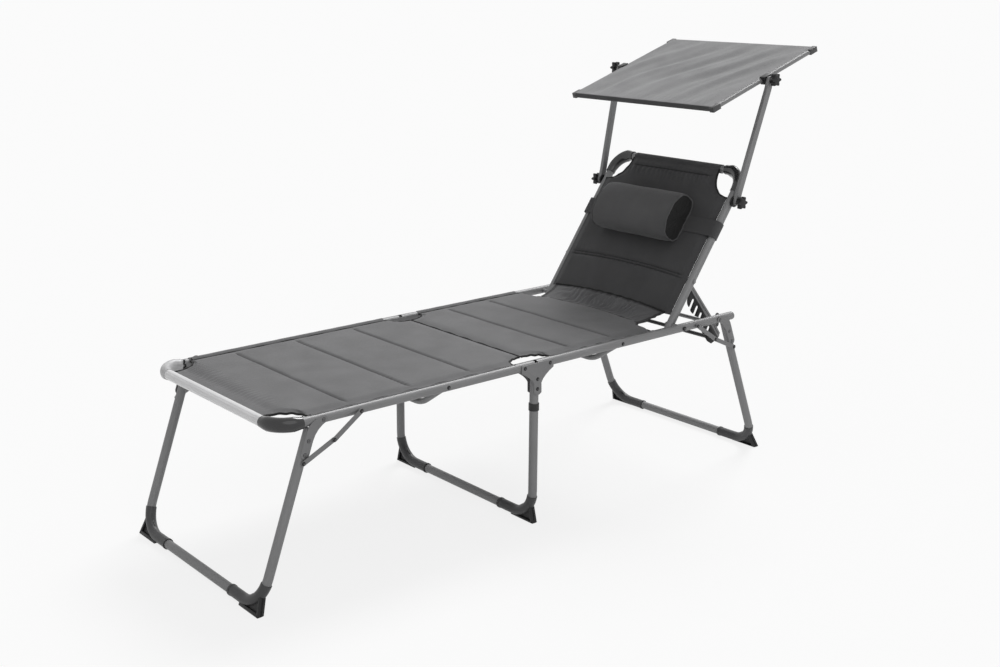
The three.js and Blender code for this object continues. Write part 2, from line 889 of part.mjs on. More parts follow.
// The rod that the stay's slots hook on, with a hanger plate riveted inside each rail.
function stayRestBar() {
  const { x, z } = stayRodPlace();
  const height = z - frame.railHeight;
  const plateFarY = innerFace - clearance;
  const plateNearY = plateFarY - sheet.thickness;
  const span = 2 * plateNearY + sheet.thickness;
  const rod = new THREE.CylinderGeometry(stay.rodRadius, stay.rodRadius, span, roundSides);
  rod.translate(x, 0, height);
  const solids = [rod];
  for (const [, side] of sides) {
    const strip = capsule(x, height, x, hanger.top, hanger.halfWidth);
    solids.push(sidePlate(strip, side, plateNearY, plateFarY));
    solids.push(sidePin(x, 0, pin.radius, side, plateFarY, innerFace + rivetDepth));
  }
  return build(solids);
}

function backrestPivot(side) {
  const x = backrest.pivotX;
  const outerTubeFace = backrestHalf + tube.radius;
  const innerTubeFace = backrestHalf - tube.radius;
  const inner = innerTubeFace - clearance;
  return build([
    sidePin(x, 0, bolt.radius, side, inner - bolt.headHeight, outerFace + clearance),
    sidePin(x, 0, bolt.headRadius, side, outerFace + clearance, outerFace + clearance + bolt.headHeight / 2),
    sidePin(x, 0, bolt.headRadius, side, outerTubeFace + clearance, innerFace - clearance, roundSides),
    sidePin(x, 0, bolt.headRadius, side, inner - bolt.headHeight, inner),
  ]);
}

function railCap(side) {
  const plug = tube.radius - tube.wall - clearance;
  const profile = [
    new THREE.Vector2(0, -tube.radius),
    new THREE.Vector2(plug, -tube.radius),
    new THREE.Vector2(plug, clearance),
    new THREE.Vector2(tube.radius, clearance),
  ];
  for (const share of capTurnShares) {
    const turn = share * quarterTurn;
    const height = clearance + tube.radius * Math.sin(turn) * capFlatShare;
    profile.push(new THREE.Vector2(tube.radius * Math.cos(turn), height));
  }
  profile.push(new THREE.Vector2(0, clearance + tube.radius * capFlatShare));
  const geometry = new THREE.LatheGeometry(profile, roundSides);
  geometry.rotateZ(-quarterTurn);
  geometry.translate(frame.headEndX, side * frame.railY, 0);
  return geometry;
}

function headSection() {
  const group = new THREE.Group();
  group.position.z = frame.railHeight;
  const startX = frame.foldX + frame.endGap / 2;
  const rodX = stayRodPlace().x;
  for (const [label, side] of sides) {
    const y = side * frame.railY;
    const route = straightRoute(new THREE.Vector3(startX, y, 0), new THREE.Vector3(frame.headEndX, y, 0));
    const hangerHole = sideBore(rodX, 0, pin.radius, side, innerFace - overrun, frame.railY);
    const rail = build([sweptTube(route, tube.radius, tube.wall)], [
      railHole(frame.foldX + hinge.pinOffset, side, pin.radius),
      railHole(leg.rearPivotX, side, pin.radius),
      outerHole(leg.rearPivotX - brace.railOffset, side, pin.radius),
      railHole(backrest.pivotX, side, bolt.radius),
      hangerHole,
    ]);
    group.add(namedMesh(`head_rail_${label}`, rail, steel));
    group.add(namedMesh(`rail_cap_${label}`, railCap(side), greyPlastic));
    group.add(namedMesh(`backrest_pivot_${label}`, backrestPivot(side), plate));
  }
  group.add(namedMesh("seat_spreader", bowedBar(spreader.seatX), steel));
  group.add(namedMesh("stay_rest_bar", stayRestBar(), steel));
  return group;
}

// Seat panels

function seatFace(seams, start, end) {
  return (x, share, top) => {
    const pull = 1 - (pad.seamDepth / pad.crown) * seamPull(x, seams, pad.seamWidth);
    const crown = crownShare(share) * pull * endShare(x, start, end);
    const lift = top ? pad.edgeHalf + pad.crown * crown : -pad.edgeHalf - pad.belly * crown;
    return seatEdgeHeight + lift;
  };
}

function footPad() {
  const endX = frame.foldX - pad.gap;
  const marks = [
    ...seamMarks(pad.footSeams, pad.seamWidth),
    ...cutShares.map((share) => pad.footStartX + pad.cornerLength * share),
    ...cutShares.map((share) => endX - pad.foldCutLength * share),
  ];
  const stations = padStations(pad.footStartX, endX, pad.stationSpacing, marks);
  const face = seatFace(pad.footSeams, pad.footStartX, endX);
  return paddedPanel(stations, padRowShares, (x) => padEdgeY
    - ellipseBite(x - pad.footStartX, pad.cornerLength, pad.cornerDepth)
    - ellipseBite(x - endX, pad.foldCutLength, pad.foldCutDepth), face);
}

function seatPad() {
  const startX = frame.foldX + pad.gap;
  const marks = [
    ...seamMarks(pad.seatSeams, pad.seamWidth),
    ...cutShares.map((share) => startX + pad.foldCutLength * share),
    ...hipCutShares.map((share) => pad.hipCutX + pad.hipCutLength * share),
  ];
  const stations = padStations(startX, pad.seatEndX, pad.stationSpacing, marks);
  const hipBite = (x) => {
    if (x <= pad.hipCutX) {
      return 0;
    }
    const share = Math.min((x - pad.hipCutX) / pad.hipCutLength, 1);
    return pad.seatTailInset * Math.sqrt(1 - (1 - share) * (1 - share));
  };
  const face = seatFace(pad.seatSeams, startX, pad.seatEndX);
  return paddedPanel(stations, padRowShares, (x) => padEdgeY
    - ellipseBite(x - startX, pad.foldCutLength, pad.foldCutDepth)
    - hipBite(x), face);
}

function seatPads() {
  const group = new THREE.Group();
  group.add(namedMesh("foot_pad", footPad(), seatCloth));
  group.add(namedMesh("seat_pad", seatPad(), seatCloth));
  return group;
}

// Backrest. In its own frame X runs up the backrest from the pivot and Z stands out of its front.

function backrestTube() {
  const route = bentRoute([
    new THREE.Vector3(-backrest.tail, backrestHalf, 0),
    new THREE.Vector3(backrest.length, backrestHalf, 0),
    new THREE.Vector3(backrest.length, -backrestHalf, 0),
    new THREE.Vector3(-backrest.tail, -backrestHalf, 0),
  ], backrest.bend);
  const inner = backrestHalf - tube.radius - overrun;
  const outer = backrestHalf + tube.radius + overrun;
  const holes = sides.flatMap(([, side]) => [
    sideBore(0, 0, bolt.radius, side, inner, outer),
    sideBore(backrest.stayPinT, 0, bolt.radius, side, inner, outer),
    sideBore(clampT, 0, pin.radius, side, inner, outer),
  ]);
  return build([sweptTube(route, tube.radius, tube.wall)], holes);
}

function backrestPad() {
  const { offset, startT, crown, cutLength, cutDepth } = backPad;
  const endT = backPadEndT;
  const marks = [
    ...seamMarks(backPadSeams, pad.seamWidth).filter((t) => t < endT),
    ...cutShares.map((share) => endT - cutLength * share),
    ...endTaperShares.map((share) => startT + pad.endTaper * share),
  ];
  const stations = padStations(startT, endT, pad.stationSpacing, marks);
  return paddedPanel(
    stations,
    padRowShares,
    (t) => backPadHalf - ellipseBite(t - endT, cutLength, cutDepth),
    (t, share, top) => {
      const pull = 1 - (pad.seamDepth / pad.crown) * seamPull(t, backPadSeams, pad.seamWidth);
      const swell = crownShare(share) * pull * endShare(t, startT, endT);
      return offset + (top ? pad.edgeHalf + crown * swell : -pad.edgeHalf - crown * swell);
    },
  );
}

// Notched support stay. In its own frame X runs from its pins to its free end.
function stayTopLine() {
  return stayTopShares.map(([along, height]) => [stay.length * along, stay.eyeRadius * height]);
}

function stayPlateOutline() {
  return polygon([
    ...stayTopLine(),
    [stay.length, 0],
    [stay.length, -stay.barDrop / 2],
    ...stayToeShares.map(([along, drop]) => [stay.length * along, -stay.barDrop * drop]),
    ...stayToothShares.map(([along, drop]) => [stay.length * along, -stay.slotDepth * drop]),
    [stay.eyeRadius, -stay.eyeRadius],
    [0, -stay.eyeRadius],
    [-stay.eyeRadius * stayEyeCornerShare, -stay.eyeRadius / 2],
    [-stay.eyeRadius, 0],
    [-stay.eyeRadius * stayEyeCornerShare, stay.eyeRadius / 2],
  ]);
}

function supportStay() {
  const { thickness, rodRadius, slotPitch, slotDepth, slotMouthDepth, slotCount } = stay;
  const innerY = stayInnerY;
  const outerY = innerY + thickness;
  const solids = [];
  const cuts = [];
  for (const [, side] of sides) {
    solids.push(sidePlate(stayPlateOutline(), side, innerY, outerY));
    const rib = polygon([
      ...stayTopLine().map(([x, z]) => [x, z - stay.ribWidth]),
      ...stayTopLine().reverse(),
    ]);
    solids.push(sidePlate(rib, side, innerY, outerY + stay.ribHeight));
    const outerTubeFace = backrestHalf + tube.radius;
    solids.push(sidePin(0, 0, bolt.radius, side, innerY, outerTubeFace + clearance));
    const headNear = outerTubeFace + clearance;
    const headFar = outerTubeFace + bolt.headHeight / 2;
    solids.push(sidePin(0, 0, bolt.headRadius - clearance, side, headNear, headFar));
    for (let i = 0; i < slotCount; i += 1) {
      const along = firstSlotAlong + slotPitch * i;
      const mouthX = along + stay.slotLeanShare * (slotMouthDepth - slotDepth);
      const slot = capsule(along, -slotDepth, mouthX, -slotMouthDepth, rodRadius + clearance);
      cuts.push(sidePlate(slot, side, innerY - overrun, outerY + overrun));
    }
  }
  const rod = new THREE.CylinderGeometry(rodRadius, rodRadius, 2 * outerY, roundSides);
  rod.translate(stay.length - stay.barInset, 0, -stay.barDrop);
  return build([build(solids, cuts), rod]);
}

function pillowSolid() {
  const { halfLength, halfHeight, halfThickness, seat, ringPoints } = pillow;
  const t = clampT - pillow.clampDrop;
  const flat = halfThickness * pillowFlatShare;
  const rings = pillowRingShares.map(([along, size]) => {
    const points = [];
    for (let i = 0; i < ringPoints; i += 1) {
      const turn = (2 * Math.PI * i) / ringPoints;
      const z = Math.sin(turn) * halfThickness * size;
      const height = seat + flat + Math.max(z, -flat);
      points.push([t + Math.cos(turn) * halfHeight * size, along * halfLength, height]);
    }
    return points;
  });
  const positions = rings.flat(2);
  const indices = [];
  const count = rings.length;
  for (let r = 0; r < count - 1; r += 1) {
    for (let i = 0; i < ringPoints; i += 1) {
      const next = (i + 1) % ringPoints;
      const a = r * ringPoints + i;
      const b = r * ringPoints + next;
      indices.push(a, b + ringPoints, b, a, a + ringPoints, b + ringPoints);
    }
  }
  for (let i = 1; i < ringPoints - 1; i += 1) {
    const far = (count - 1) * ringPoints;
    indices.push(0, i, i + 1);
    indices.push(far, far + i + 1, far + i);
  }
  const geometry = new THREE.BufferGeometry();
  geometry.setAttribute("position", new THREE.Float32BufferAttribute(positions, 3));
  geometry.setIndex(indices);
  return geometry;
}

function roundedLoop(halfSpan, back, front, corner) {
  const points = [];
  const corners = [
    [halfSpan - corner, front - corner, 0],
    [-(halfSpan - corner), front - corner, 1],
    [-(halfSpan - corner), -back + corner, 2],
    [halfSpan - corner, -back + corner, 3],
  ];
  for (const [y, z, quarter] of corners) {
    for (let i = 0; i <= curveSteps; i += 1) {
      const turn = (quarter + i / curveSteps) * quarterTurn;
      points.push(new THREE.Vector2(y + corner * Math.cos(turn), z + corner * Math.sin(turn)));
    }
  }
  return points;
}

function strapBand() {
  const { width, thickness, front, back, corner } = strap;
  const halfSpan = backrestHalf + tube.radius + strap.tubeGap;
  const shape = new THREE.Shape(roundedLoop(halfSpan, back, front, corner));
  const hole = roundedLoop(halfSpan - thickness, back - thickness, front - thickness, corner - thickness);
  shape.holes.push(new THREE.Path(hole));
  const geometry = new THREE.ExtrudeGeometry(shape, { depth: width, bevelEnabled: false });
  geometry.rotateX(quarterTurn);
  geometry.rotateZ(quarterTurn);
  geometry.translate(clampT - strap.clampDrop, 0, 0);
  return geometry;
}

function canopyClamp(side) {
  const near = backrestHalf + tube.radius + clearance;
  const far = armLowY - arm.thickness / 2 - clearance;
  const knobNear = armLowY + arm.thickness / 2 + clearance;
  const inner = backrestHalf - tube.radius - clearance;
  const x = clampT;
  return build([
    sidePin(x, 0, pin.radius, side, inner - pin.headHeight, knobNear + knob.boreDepth - clearance),
    sidePin(x, 0, clamp.discRadius, side, near, far, roundSides),
    sidePin(x, 0, pin.headRadius, side, inner - pin.headHeight, inner),
  ]);
}

// A lobed knob with a blind bore for its bolt, standing outward from the given distance.
function starKnob(x, z, side, near) {
  const outline = new THREE.Shape();
  for (let i = 0; i < knob.points; i += 1) {
    const turn = (2 * Math.PI * i) / knob.points;
    const radius = knob.radius + knob.lobe * Math.cos(knob.lobes * turn);
    const point = [x + radius * Math.cos(turn), z + radius * Math.sin(turn)];
    if (i === 0) {
      outline.moveTo(...point);
    } else {
      outline.lineTo(...point);
    }
  }
  outline.closePath();
  const hub = near + knob.height * knobHubShare;
  return build([
    sidePlate(outline, side, hub, near + knob.height),
    sidePin(x, z, knob.radius * knobHubRadiusShare, side, near, hub, roundSides),
  ], [sideBore(x, z, pin.radius, side, near - overrun, near + knob.boreDepth)]);
}

function backrestGroup() {
  const group = new THREE.Group();
  group.position.set(backrest.pivotX, 0, frame.railHeight);
  group.rotation.y = -backrest.angle;
  group.add(namedMesh("backrest_tube", backrestTube(), steel));
  group.add(namedMesh("backrest_pad", backrestPad(), backCloth));
  group.add(namedMesh("pillow", pillowSolid(), backCloth));
  group.add(namedMesh("pillow_strap", strapBand(), backCloth));
  const stayGroup = new THREE.Group();
  stayGroup.position.x = backrest.stayPinT;
  stayGroup.rotation.y = backrest.angle + stay.angle;
  stayGroup.add(namedMesh("support_stay", supportStay(), plate));
  group.add(stayGroup);
  const knobNear = armLowY + arm.thickness / 2 + clearance;
  for (const [label, side] of sides) {
    group.add(namedMesh(`canopy_clamp_${label}`, canopyClamp(side), blackPlastic));
    group.add(namedMesh(`arm_knob_${label}`, starKnob(clampT, 0, side, knobNear), blackPlastic));
  }
  return group;
}

// Canopy arms. In an arm's own frame X runs from the lower pivot to the upper pivot.

function canopyArm(side) {
  const { length, width, thickness, flatLength } = arm;
  const lowY = armLowY;
  const highY = armHighY;
  const half = thickness / 2;
  const profile = [
    [-width, lowY - half],
    [flatLength, lowY - half],
    [length - flatLength, highY - half],
    [length + width, highY - half],
    [length + width, highY + half],
    [length - flatLength, highY + half],
    [flatLength, lowY + half],
    [-width, lowY + half],
  ].map(([x, y]) => [x, side * y]);
  const body = new THREE.ExtrudeGeometry(polygon(profile), { depth: width, bevelEnabled: false });
  body.translate(0, 0, -width / 2);
  const outline = sidePlate(capsule(0, 0, length, 0, width / 2), side, lowY - width, highY + width);
  const solid = solidOf(body).intersect(solidOf(outline));
  return build([geometryOf(solid)], [
    sideBore(0, 0, pin.radius, side, lowY - width, lowY + width),
    sideBore(length, 0, pin.radius, side, highY - width, highY + width),
  ]);
}

function canopyArms() {
  const group = new THREE.Group();
  group.position.set(
    backrest.pivotX + clampT * Math.cos(backrest.angle),
    0,
    frame.railHeight + clampT * Math.sin(backrest.angle),
  );
  group.rotation.y = -arm.angle;
  for (const [label, side] of sides) {
    group.add(namedMesh(`canopy_arm_${label}`, canopyArm(side), steel));
  }
  const top = new THREE.Group();
  top.position.x = arm.length;
  top.rotation.y = arm.angle - canopy.tilt;
  addCanopy(top);
  group.add(top);
  return group;
}

// Canopy. In its own frame X runs from front to back and the origin is on the arm pivots.

function addCanopy(group) {
  const frontX = -canopy.depth * canopy.pivotShare;
  const backX = frontX + canopy.depth;
  const knobNear = armHighY + arm.thickness / 2 + clearance;
  for (const [label, side] of sides) {
    group.add(namedMesh(`canopy_side_tube_${label}`, canopySideTube(side, frontX, backX), steel));
    group.add(namedMesh(`canopy_pivot_${label}`, canopyPivot(side), blackPlastic));
    group.add(namedMesh(`canopy_knob_${label}`, starKnob(0, 0, side, knobNear), blackPlastic));
  }
  group.add(namedMesh("canopy_front_bar", canopyBar(frontX, 1), blackPlastic));
  group.add(namedMesh("canopy_back_bar", canopyBar(backX, -1), blackPlastic));
  group.add(namedMesh("canopy_fabric", canopyFabric(frontX, backX), canopyCloth));
}

function canopySideTube(side, frontX, backX) {
  const y = side * canopyHalf;
  const inset = canopy.capReach - canopy.socketDepth + clearance;
  return sweptTube(straightRoute(
    new THREE.Vector3(frontX + inset, y, 0),
    new THREE.Vector3(backX - inset, y, 0),
  ), canopy.tubeRadius, canopy.tubeWall);
}

// A cross bar with a socket cap at each end; inward is the direction of the side tubes from it.
function canopyBar(x, inward) {
  const { tubeRadius, tubeWall, capHalf, capReach, socketDepth } = canopy;
  const halfWidth = canopyHalf;
  const bar = sweep(tubeSection(tubeRadius, 0), straightRoute(
    new THREE.Vector3(x, -halfWidth, 0),
    new THREE.Vector3(x, halfWidth, 0),
  ));
  const solids = [bar];
  // The bore of the bar runs into both sockets.
  const sockets = [sweep(tubeSection(tubeRadius - tubeWall, 0), straightRoute(
    new THREE.Vector3(x, -halfWidth, 0),
    new THREE.Vector3(x, halfWidth, 0),
  ))];
  for (const [, side] of sides) {
    const y = side * halfWidth;
    const end = x + inward * capReach;
    const back = x - inward * capHalf;
    const [lowX, highX] = [Math.min(back, end), Math.max(back, end)];
    solids.push(block(lowX, highX, y - capHalf, y + capHalf, -capHalf, capHalf));
    sockets.push(sweep(tubeSection(tubeRadius + clearance, 0), straightRoute(
      new THREE.Vector3(x + inward * (capReach - socketDepth), y, 0),
      new THREE.Vector3(x + inward * (capReach + overrun), y, 0),
    )));
  }
  return build(solids, sockets);
}

function canopyPivot(side) {
  const { length, height } = pivotBlock;
  const innerY = canopyHalf - pivotBlock.innerInset;
  const far = armHighY - arm.thickness / 2 - clearance;
  const [low, high] = mirrorY(side, innerY, far);
  const y = side * canopyHalf;
  const bore = sweep(tubeSection(canopy.tubeRadius + clearance, 0), straightRoute(
    new THREE.Vector3(-length, y, 0),
    new THREE.Vector3(length, y, 0),
  ));
  const [mouthLow, mouthHigh] = mirrorY(side, innerY - overrun, canopyHalf);
  const mouthHalf = canopy.tubeRadius + clearance;
  const boltEnd = armHighY + arm.thickness / 2 + clearance + knob.boreDepth - clearance;
  return build([
    build([block(-length / 2, length / 2, low, high, -height / 2, height / 2)], [
      bore,
      block(-length, length, mouthLow, mouthHigh, -mouthHalf, mouthHalf),
    ]),
    sidePin(0, 0, pin.radius, side, far - clearance, boltEnd),
  ]);
}

function canopyFabric(frontX, backX) {
  const hem = canopy.tubeRadius + clearance;
  const low = frontX + hem;
  const high = backX - hem;
  const half = canopyHalf - canopy.capHalf - clearance;
  return gridSolid(canopy.clothColumns, canopy.clothRows, (u, v, top) => {
    const x = low + (high - low) * u;
    const share = 2 * v - 1;
    const edge = (along) => 1 - Math.pow(Math.abs(along), canopy.clothEdgePower);
    const ends = edge(share) * edge(2 * u - 1);
    const phase = canopy.rippleCount * Math.PI * (share + canopy.rippleSlantShare * u);
    const lift = canopy.clothRise + canopy.rippleHeight * Math.sin(phase) * ends;
    return [x, share * half, lift + (top ? canopy.clothHalf : -canopy.clothHalf)];
  });
}

// Assembly

const lounger = new THREE.Group();
lounger.add(midLeg());
lounger.add(foldBrackets());
lounger.add(footSection());
lounger.add(headSection());
lounger.add(seatPads());
lounger.add(endLeg("front_leg", 1, leg.frontPivotX));
lounger.add(endLeg("rear_leg", -1, leg.rearPivotX));
lounger.add(backrestGroup());
lounger.add(canopyArms());

lounger.updateMatrixWorld(true);
const reach = new THREE.Box3().setFromObject(lounger, true);
lounger.position.x = -(reach.min.x + reach.max.x) / 2;
lounger.updateMatrixWorld(true);

export default lounger;
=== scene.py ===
# A folding sun lounger with a canopy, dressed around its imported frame. Metres, +Z up, +X to the head end.
import json
import math

import bpy
import numpy as np
from mathutils import Matrix, Vector, noise

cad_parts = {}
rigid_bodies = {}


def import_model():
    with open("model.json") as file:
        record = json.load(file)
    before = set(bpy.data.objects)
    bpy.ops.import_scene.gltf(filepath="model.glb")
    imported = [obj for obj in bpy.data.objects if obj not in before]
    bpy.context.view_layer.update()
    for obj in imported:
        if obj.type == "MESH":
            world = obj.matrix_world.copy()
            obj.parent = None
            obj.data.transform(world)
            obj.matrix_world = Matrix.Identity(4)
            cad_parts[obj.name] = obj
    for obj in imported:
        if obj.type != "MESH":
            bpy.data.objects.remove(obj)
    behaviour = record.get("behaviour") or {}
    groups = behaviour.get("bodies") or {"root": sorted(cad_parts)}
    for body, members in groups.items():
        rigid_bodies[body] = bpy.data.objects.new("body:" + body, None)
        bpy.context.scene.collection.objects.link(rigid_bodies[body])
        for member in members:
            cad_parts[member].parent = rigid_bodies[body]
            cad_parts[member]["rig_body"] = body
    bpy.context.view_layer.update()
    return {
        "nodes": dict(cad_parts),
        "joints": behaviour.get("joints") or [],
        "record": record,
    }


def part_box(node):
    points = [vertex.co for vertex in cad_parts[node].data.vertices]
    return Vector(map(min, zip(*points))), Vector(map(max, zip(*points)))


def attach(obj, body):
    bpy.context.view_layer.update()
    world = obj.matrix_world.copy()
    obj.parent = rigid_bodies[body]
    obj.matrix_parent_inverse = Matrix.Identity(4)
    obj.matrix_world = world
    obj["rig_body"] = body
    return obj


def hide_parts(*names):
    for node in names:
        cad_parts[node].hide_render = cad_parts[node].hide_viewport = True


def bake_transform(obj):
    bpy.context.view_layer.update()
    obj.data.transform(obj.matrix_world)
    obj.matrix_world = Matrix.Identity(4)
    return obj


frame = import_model()
scene = bpy.context.scene
scene.view_settings.view_transform = "Standard"

# Camera
# It stands off the left corner of the foot end, a little over the canopy's height, and looks slightly down.
camera_place = Vector((-2.4276, -2.9926, 1.5307))
camera_yaw = math.radians(50.96)
camera_pitch = math.radians(15.569)
camera_roll = math.radians(-0.533)
camera_lens = 48.43
camera_sensor = 36
camera_ahead = Vector((
    math.cos(camera_yaw) * math.cos(camera_pitch),
    math.sin(camera_yaw) * math.cos(camera_pitch),
    -math.sin(camera_pitch),
))
level_right = Vector((math.sin(camera_yaw), -math.cos(camera_yaw), 0))
level_up = level_right.cross(camera_ahead)
camera_right = level_right * math.cos(camera_roll) + level_up * math.sin(camera_roll)
camera_up = level_up * math.cos(camera_roll) - level_right * math.sin(camera_roll)
camera_data = bpy.data.cameras.new("studio_camera")
camera_data.lens = camera_lens
camera_data.sensor_width = camera_sensor
camera = bpy.data.objects.new("studio_camera", camera_data)
scene.collection.objects.link(camera)
camera_turn = Matrix((camera_right, camera_up, -camera_ahead)).transposed()
camera.matrix_world = Matrix.Translation(camera_place) @ camera_turn.to_4x4()
scene.camera = camera

# Studio
# A white floor and sky. The main light stands high behind the head end,
# so the seat is lit and the front of the backrest is not.
floor_size = 160
floor_drop = 0.0004
floor_colour = (0.86, 0.86, 0.86, 1)
floor_white_share = 0.82
key_from = Vector((0.62, 0.30, 0.86))
key_strength = 1.9
key_spread = math.radians(24)
rim_from = Vector((-0.25, -0.9, 0.7))
rim_strength = 0.45
rim_spread = key_spread * 2
sky_low = 0.30
sky_high = 0.62
sky_white = (0.966, 0.966, 0.966, 1)


def primitive(add, name, **settings):
    """Adds a primitive while nothing else is selected, and names it."""
    bpy.ops.object.select_all(action="DESELECT")
    add(**settings)
    bpy.context.object.name = name
    return bpy.context.object


def add_node(tree, kind, inputs=None, **settings):
    """Adds a shader node and returns its outputs. An input is given a value, or the output that feeds it.

    The settings are what the node offers beside its inputs, such as its operation.
    """
    node = tree.nodes.new(kind)
    for label, value in settings.items():
        setattr(node, label, value)
    for label, value in (inputs or {}).items():
        if isinstance(value, bpy.types.NodeSocket):
            tree.links.new(value, node.inputs[label])
        else:
            node.inputs[label].default_value = value
    return node.outputs


def shown_to_eye(tree):
    """A factor of one for rays that see the background: straight, mirrored or through glass."""
    path = add_node(tree, "ShaderNodeLightPath")
    seen = path["Is Camera Ray"]
    for way in ("Is Glossy Ray", "Is Transmission Ray"):
        seen = add_node(tree, "ShaderNodeMath", {0: seen, 1: path[way]}, operation="MAXIMUM")[0]
    return seen


def end_background(tree, share, lit, white, end):
    """Mixes the shade that lights the object with the white that the eye sees."""
    mixed = add_node(tree, "ShaderNodeMixShader", {0: share, 1: lit[0], 2: white[0]})
    add_node(tree, end, {"Surface": mixed[0]})


floor = primitive(
    bpy.ops.mesh.primitive_plane_add, "studio_floor", size=floor_size, location=(0, 0, -floor_drop)
)
floor_finish = bpy.data.materials.new("studio_floor")
floor_finish.use_nodes = True
floor_tree = floor_finish.node_tree
floor_tree.nodes.clear()
floor_share = {0: shown_to_eye(floor_tree), 1: floor_white_share}
end_background(
    floor_tree,
    add_node(floor_tree, "ShaderNodeMath", floor_share, operation="MULTIPLY")[0],
    add_node(floor_tree, "ShaderNodeBsdfDiffuse", {"Color": floor_colour}),
    add_node(floor_tree, "ShaderNodeEmission"),
    "ShaderNodeOutputMaterial",
)
floor.data.materials.append(floor_finish)

for light_name, light_from, strength, spread in (
    ("key_light", key_from, key_strength, key_spread),
    ("side_light", rim_from, rim_strength, rim_spread),
):
    light_data = bpy.data.lights.new(light_name, "SUN")
    light_data.energy = strength
    light_data.angle = spread
    light = bpy.data.objects.new(light_name, light_data)
    light.rotation_euler = (-light_from).to_track_quat("-Z", "Y").to_euler()
    scene.collection.objects.link(light)

scene.world = bpy.data.worlds.new("studio_sky")
scene.world.use_nodes = True
sky_tree = scene.world.node_tree
sky_tree.nodes.clear()
sky_place = add_node(sky_tree, "ShaderNodeTexCoord")["Generated"]
sky_x = add_node(sky_tree, "ShaderNodeSeparateXYZ", {0: sky_place})["X"]
sky_range = {"Value": sky_x, "From Min": -1, "To Min": sky_low, "To Max": sky_high}
sky_strength = add_node(sky_tree, "ShaderNodeMapRange", sky_range)["Result"]
end_background(
    sky_tree,
    shown_to_eye(sky_tree),
    add_node(sky_tree, "ShaderNodeBackground", {"Strength": sky_strength}),
    add_node(sky_tree, "ShaderNodeBackground", {"Color": sky_white}),
    "ShaderNodeOutputWorld",
)

# Leg tubes
# Three U shaped steel tubes stand under the lounger.
# Each is bent from one length and painted satin silver-grey.
joint_place = {joint["name"]: Vector(joint.get("pos_m") or (0, 0, 0)) for joint in frame["joints"]}
sole_place = {mount["name"]: Vector(mount["pos_m"]) for mount in frame["record"]["mounts"]}
rail_low, rail_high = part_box("head_rail_right")
tube_radius = (rail_high.z - rail_low.z) / 2
tube_wall = 0.0012
rail_y = (rail_low.y + rail_high.y) / 2
rail_z = (rail_low.z + rail_high.z) / 2
leg_bend = 0.080
bar_height = 0.015
legs = {
    "front": {"lean": math.radians(20.5), "top": 0.4745},
    "mid": {"lean": math.radians(1.2), "top": 0.4331},
    "rear": {"lean": math.radians(-20.5), "top": 0.4745},
}
sides = {"right": 1, "left": -1}
steel_colour = (0.235, 0.235, 0.238, 1)
steel_roughness = 0.50
steel_grain = 260
tiny = 0.000001


def only(*pieces):
    """Selects these pieces and nothing else."""
    bpy.ops.object.select_all(action="DESELECT")
    for piece in pieces:
        piece.select_set(True)
    bpy.context.view_layer.objects.active = pieces[-1]


def apply_modifiers(piece):
    only(piece)
    for modifier in list(piece.modifiers):
        bpy.ops.object.modifier_apply(modifier=modifier.name)


def smooth(piece, angle=35):
    only(piece)
    bpy.ops.object.shade_smooth_by_angle(angle=math.radians(angle))


def extrude(step):
    bpy.ops.mesh.extrude_region_move(TRANSFORM_OT_translate={"value": step})


def thicken(piece, thickness):
    """Gives a skin its wall, on the inner side."""
    shell = piece.modifiers.new("wall", "SOLIDIFY")
    shell.thickness = thickness
    shell.offset = -1
    apply_modifiers(piece)


def tube_along(name, corners, bend, radius, wall, ring=32, steps=12, bend_height=1.0):
    """A round tube through the corners, each rounded to the bend radius. A bend may be the taller part."""
    heading = (corners[1] - corners[0]).normalized()
    piece = primitive(
        bpy.ops.mesh.primitive_circle_add,
        name,
        vertices=ring,
        radius=radius,
        location=corners[0],
        rotation=heading.to_track_quat("Z", "Y").to_euler(),
    )
    bpy.ops.object.transform_apply(location=True, rotation=True, scale=True)
    bpy.ops.object.mode_set(mode="EDIT")
    bpy.ops.mesh.select_all(action="SELECT")
    swell = [0]
    place = corners[0]
    for corner, following in zip(corners[1:], corners[2:]):
        into = (corner - place).normalized()
        out = (following - corner).normalized()
        turn = into.angle(out)
        reach = bend * math.tan(turn / 2)
        start = corner - into * reach
        if (start - place).length > tiny:
            extrude(start - place)
            swell.append(0)
        axis = into.cross(out).normalized()
        centre = start + axis.cross(into) * bend
        bpy.ops.mesh.spin(steps=steps, angle=-turn, center=centre, axis=axis)
        swell.extend(min(1, 2 * math.sin(math.pi * step / steps)) for step in range(1, steps + 1))
        place = corner + out * reach
    if (corners[-1] - place).length > tiny:
        extrude(corners[-1] - place)
        swell.append(0)
    bpy.ops.object.mode_set(mode="OBJECT")
    points = np.array([vertex.co for vertex in piece.data.vertices]).reshape(-1, ring, 3)
    for index, share in enumerate(swell):
        middle = points[index, :, 2].mean()
        points[index, :, 2] = middle + (points[index, :, 2] - middle) * (1 + (bend_height - 1) * share)
    piece.data.vertices.foreach_set("co", points.ravel())
    bpy.ops.object.mode_set(mode="EDIT")
    bpy.ops.mesh.select_all(action="SELECT")
    bpy.ops.mesh.normals_make_consistent(inside=False)
    if not wall:
        bpy.ops.mesh.fill_holes(sides=0)
    bpy.ops.object.mode_set(mode="OBJECT")
    if wall:
        thicken(piece, wall)
    smooth(piece)
    return piece


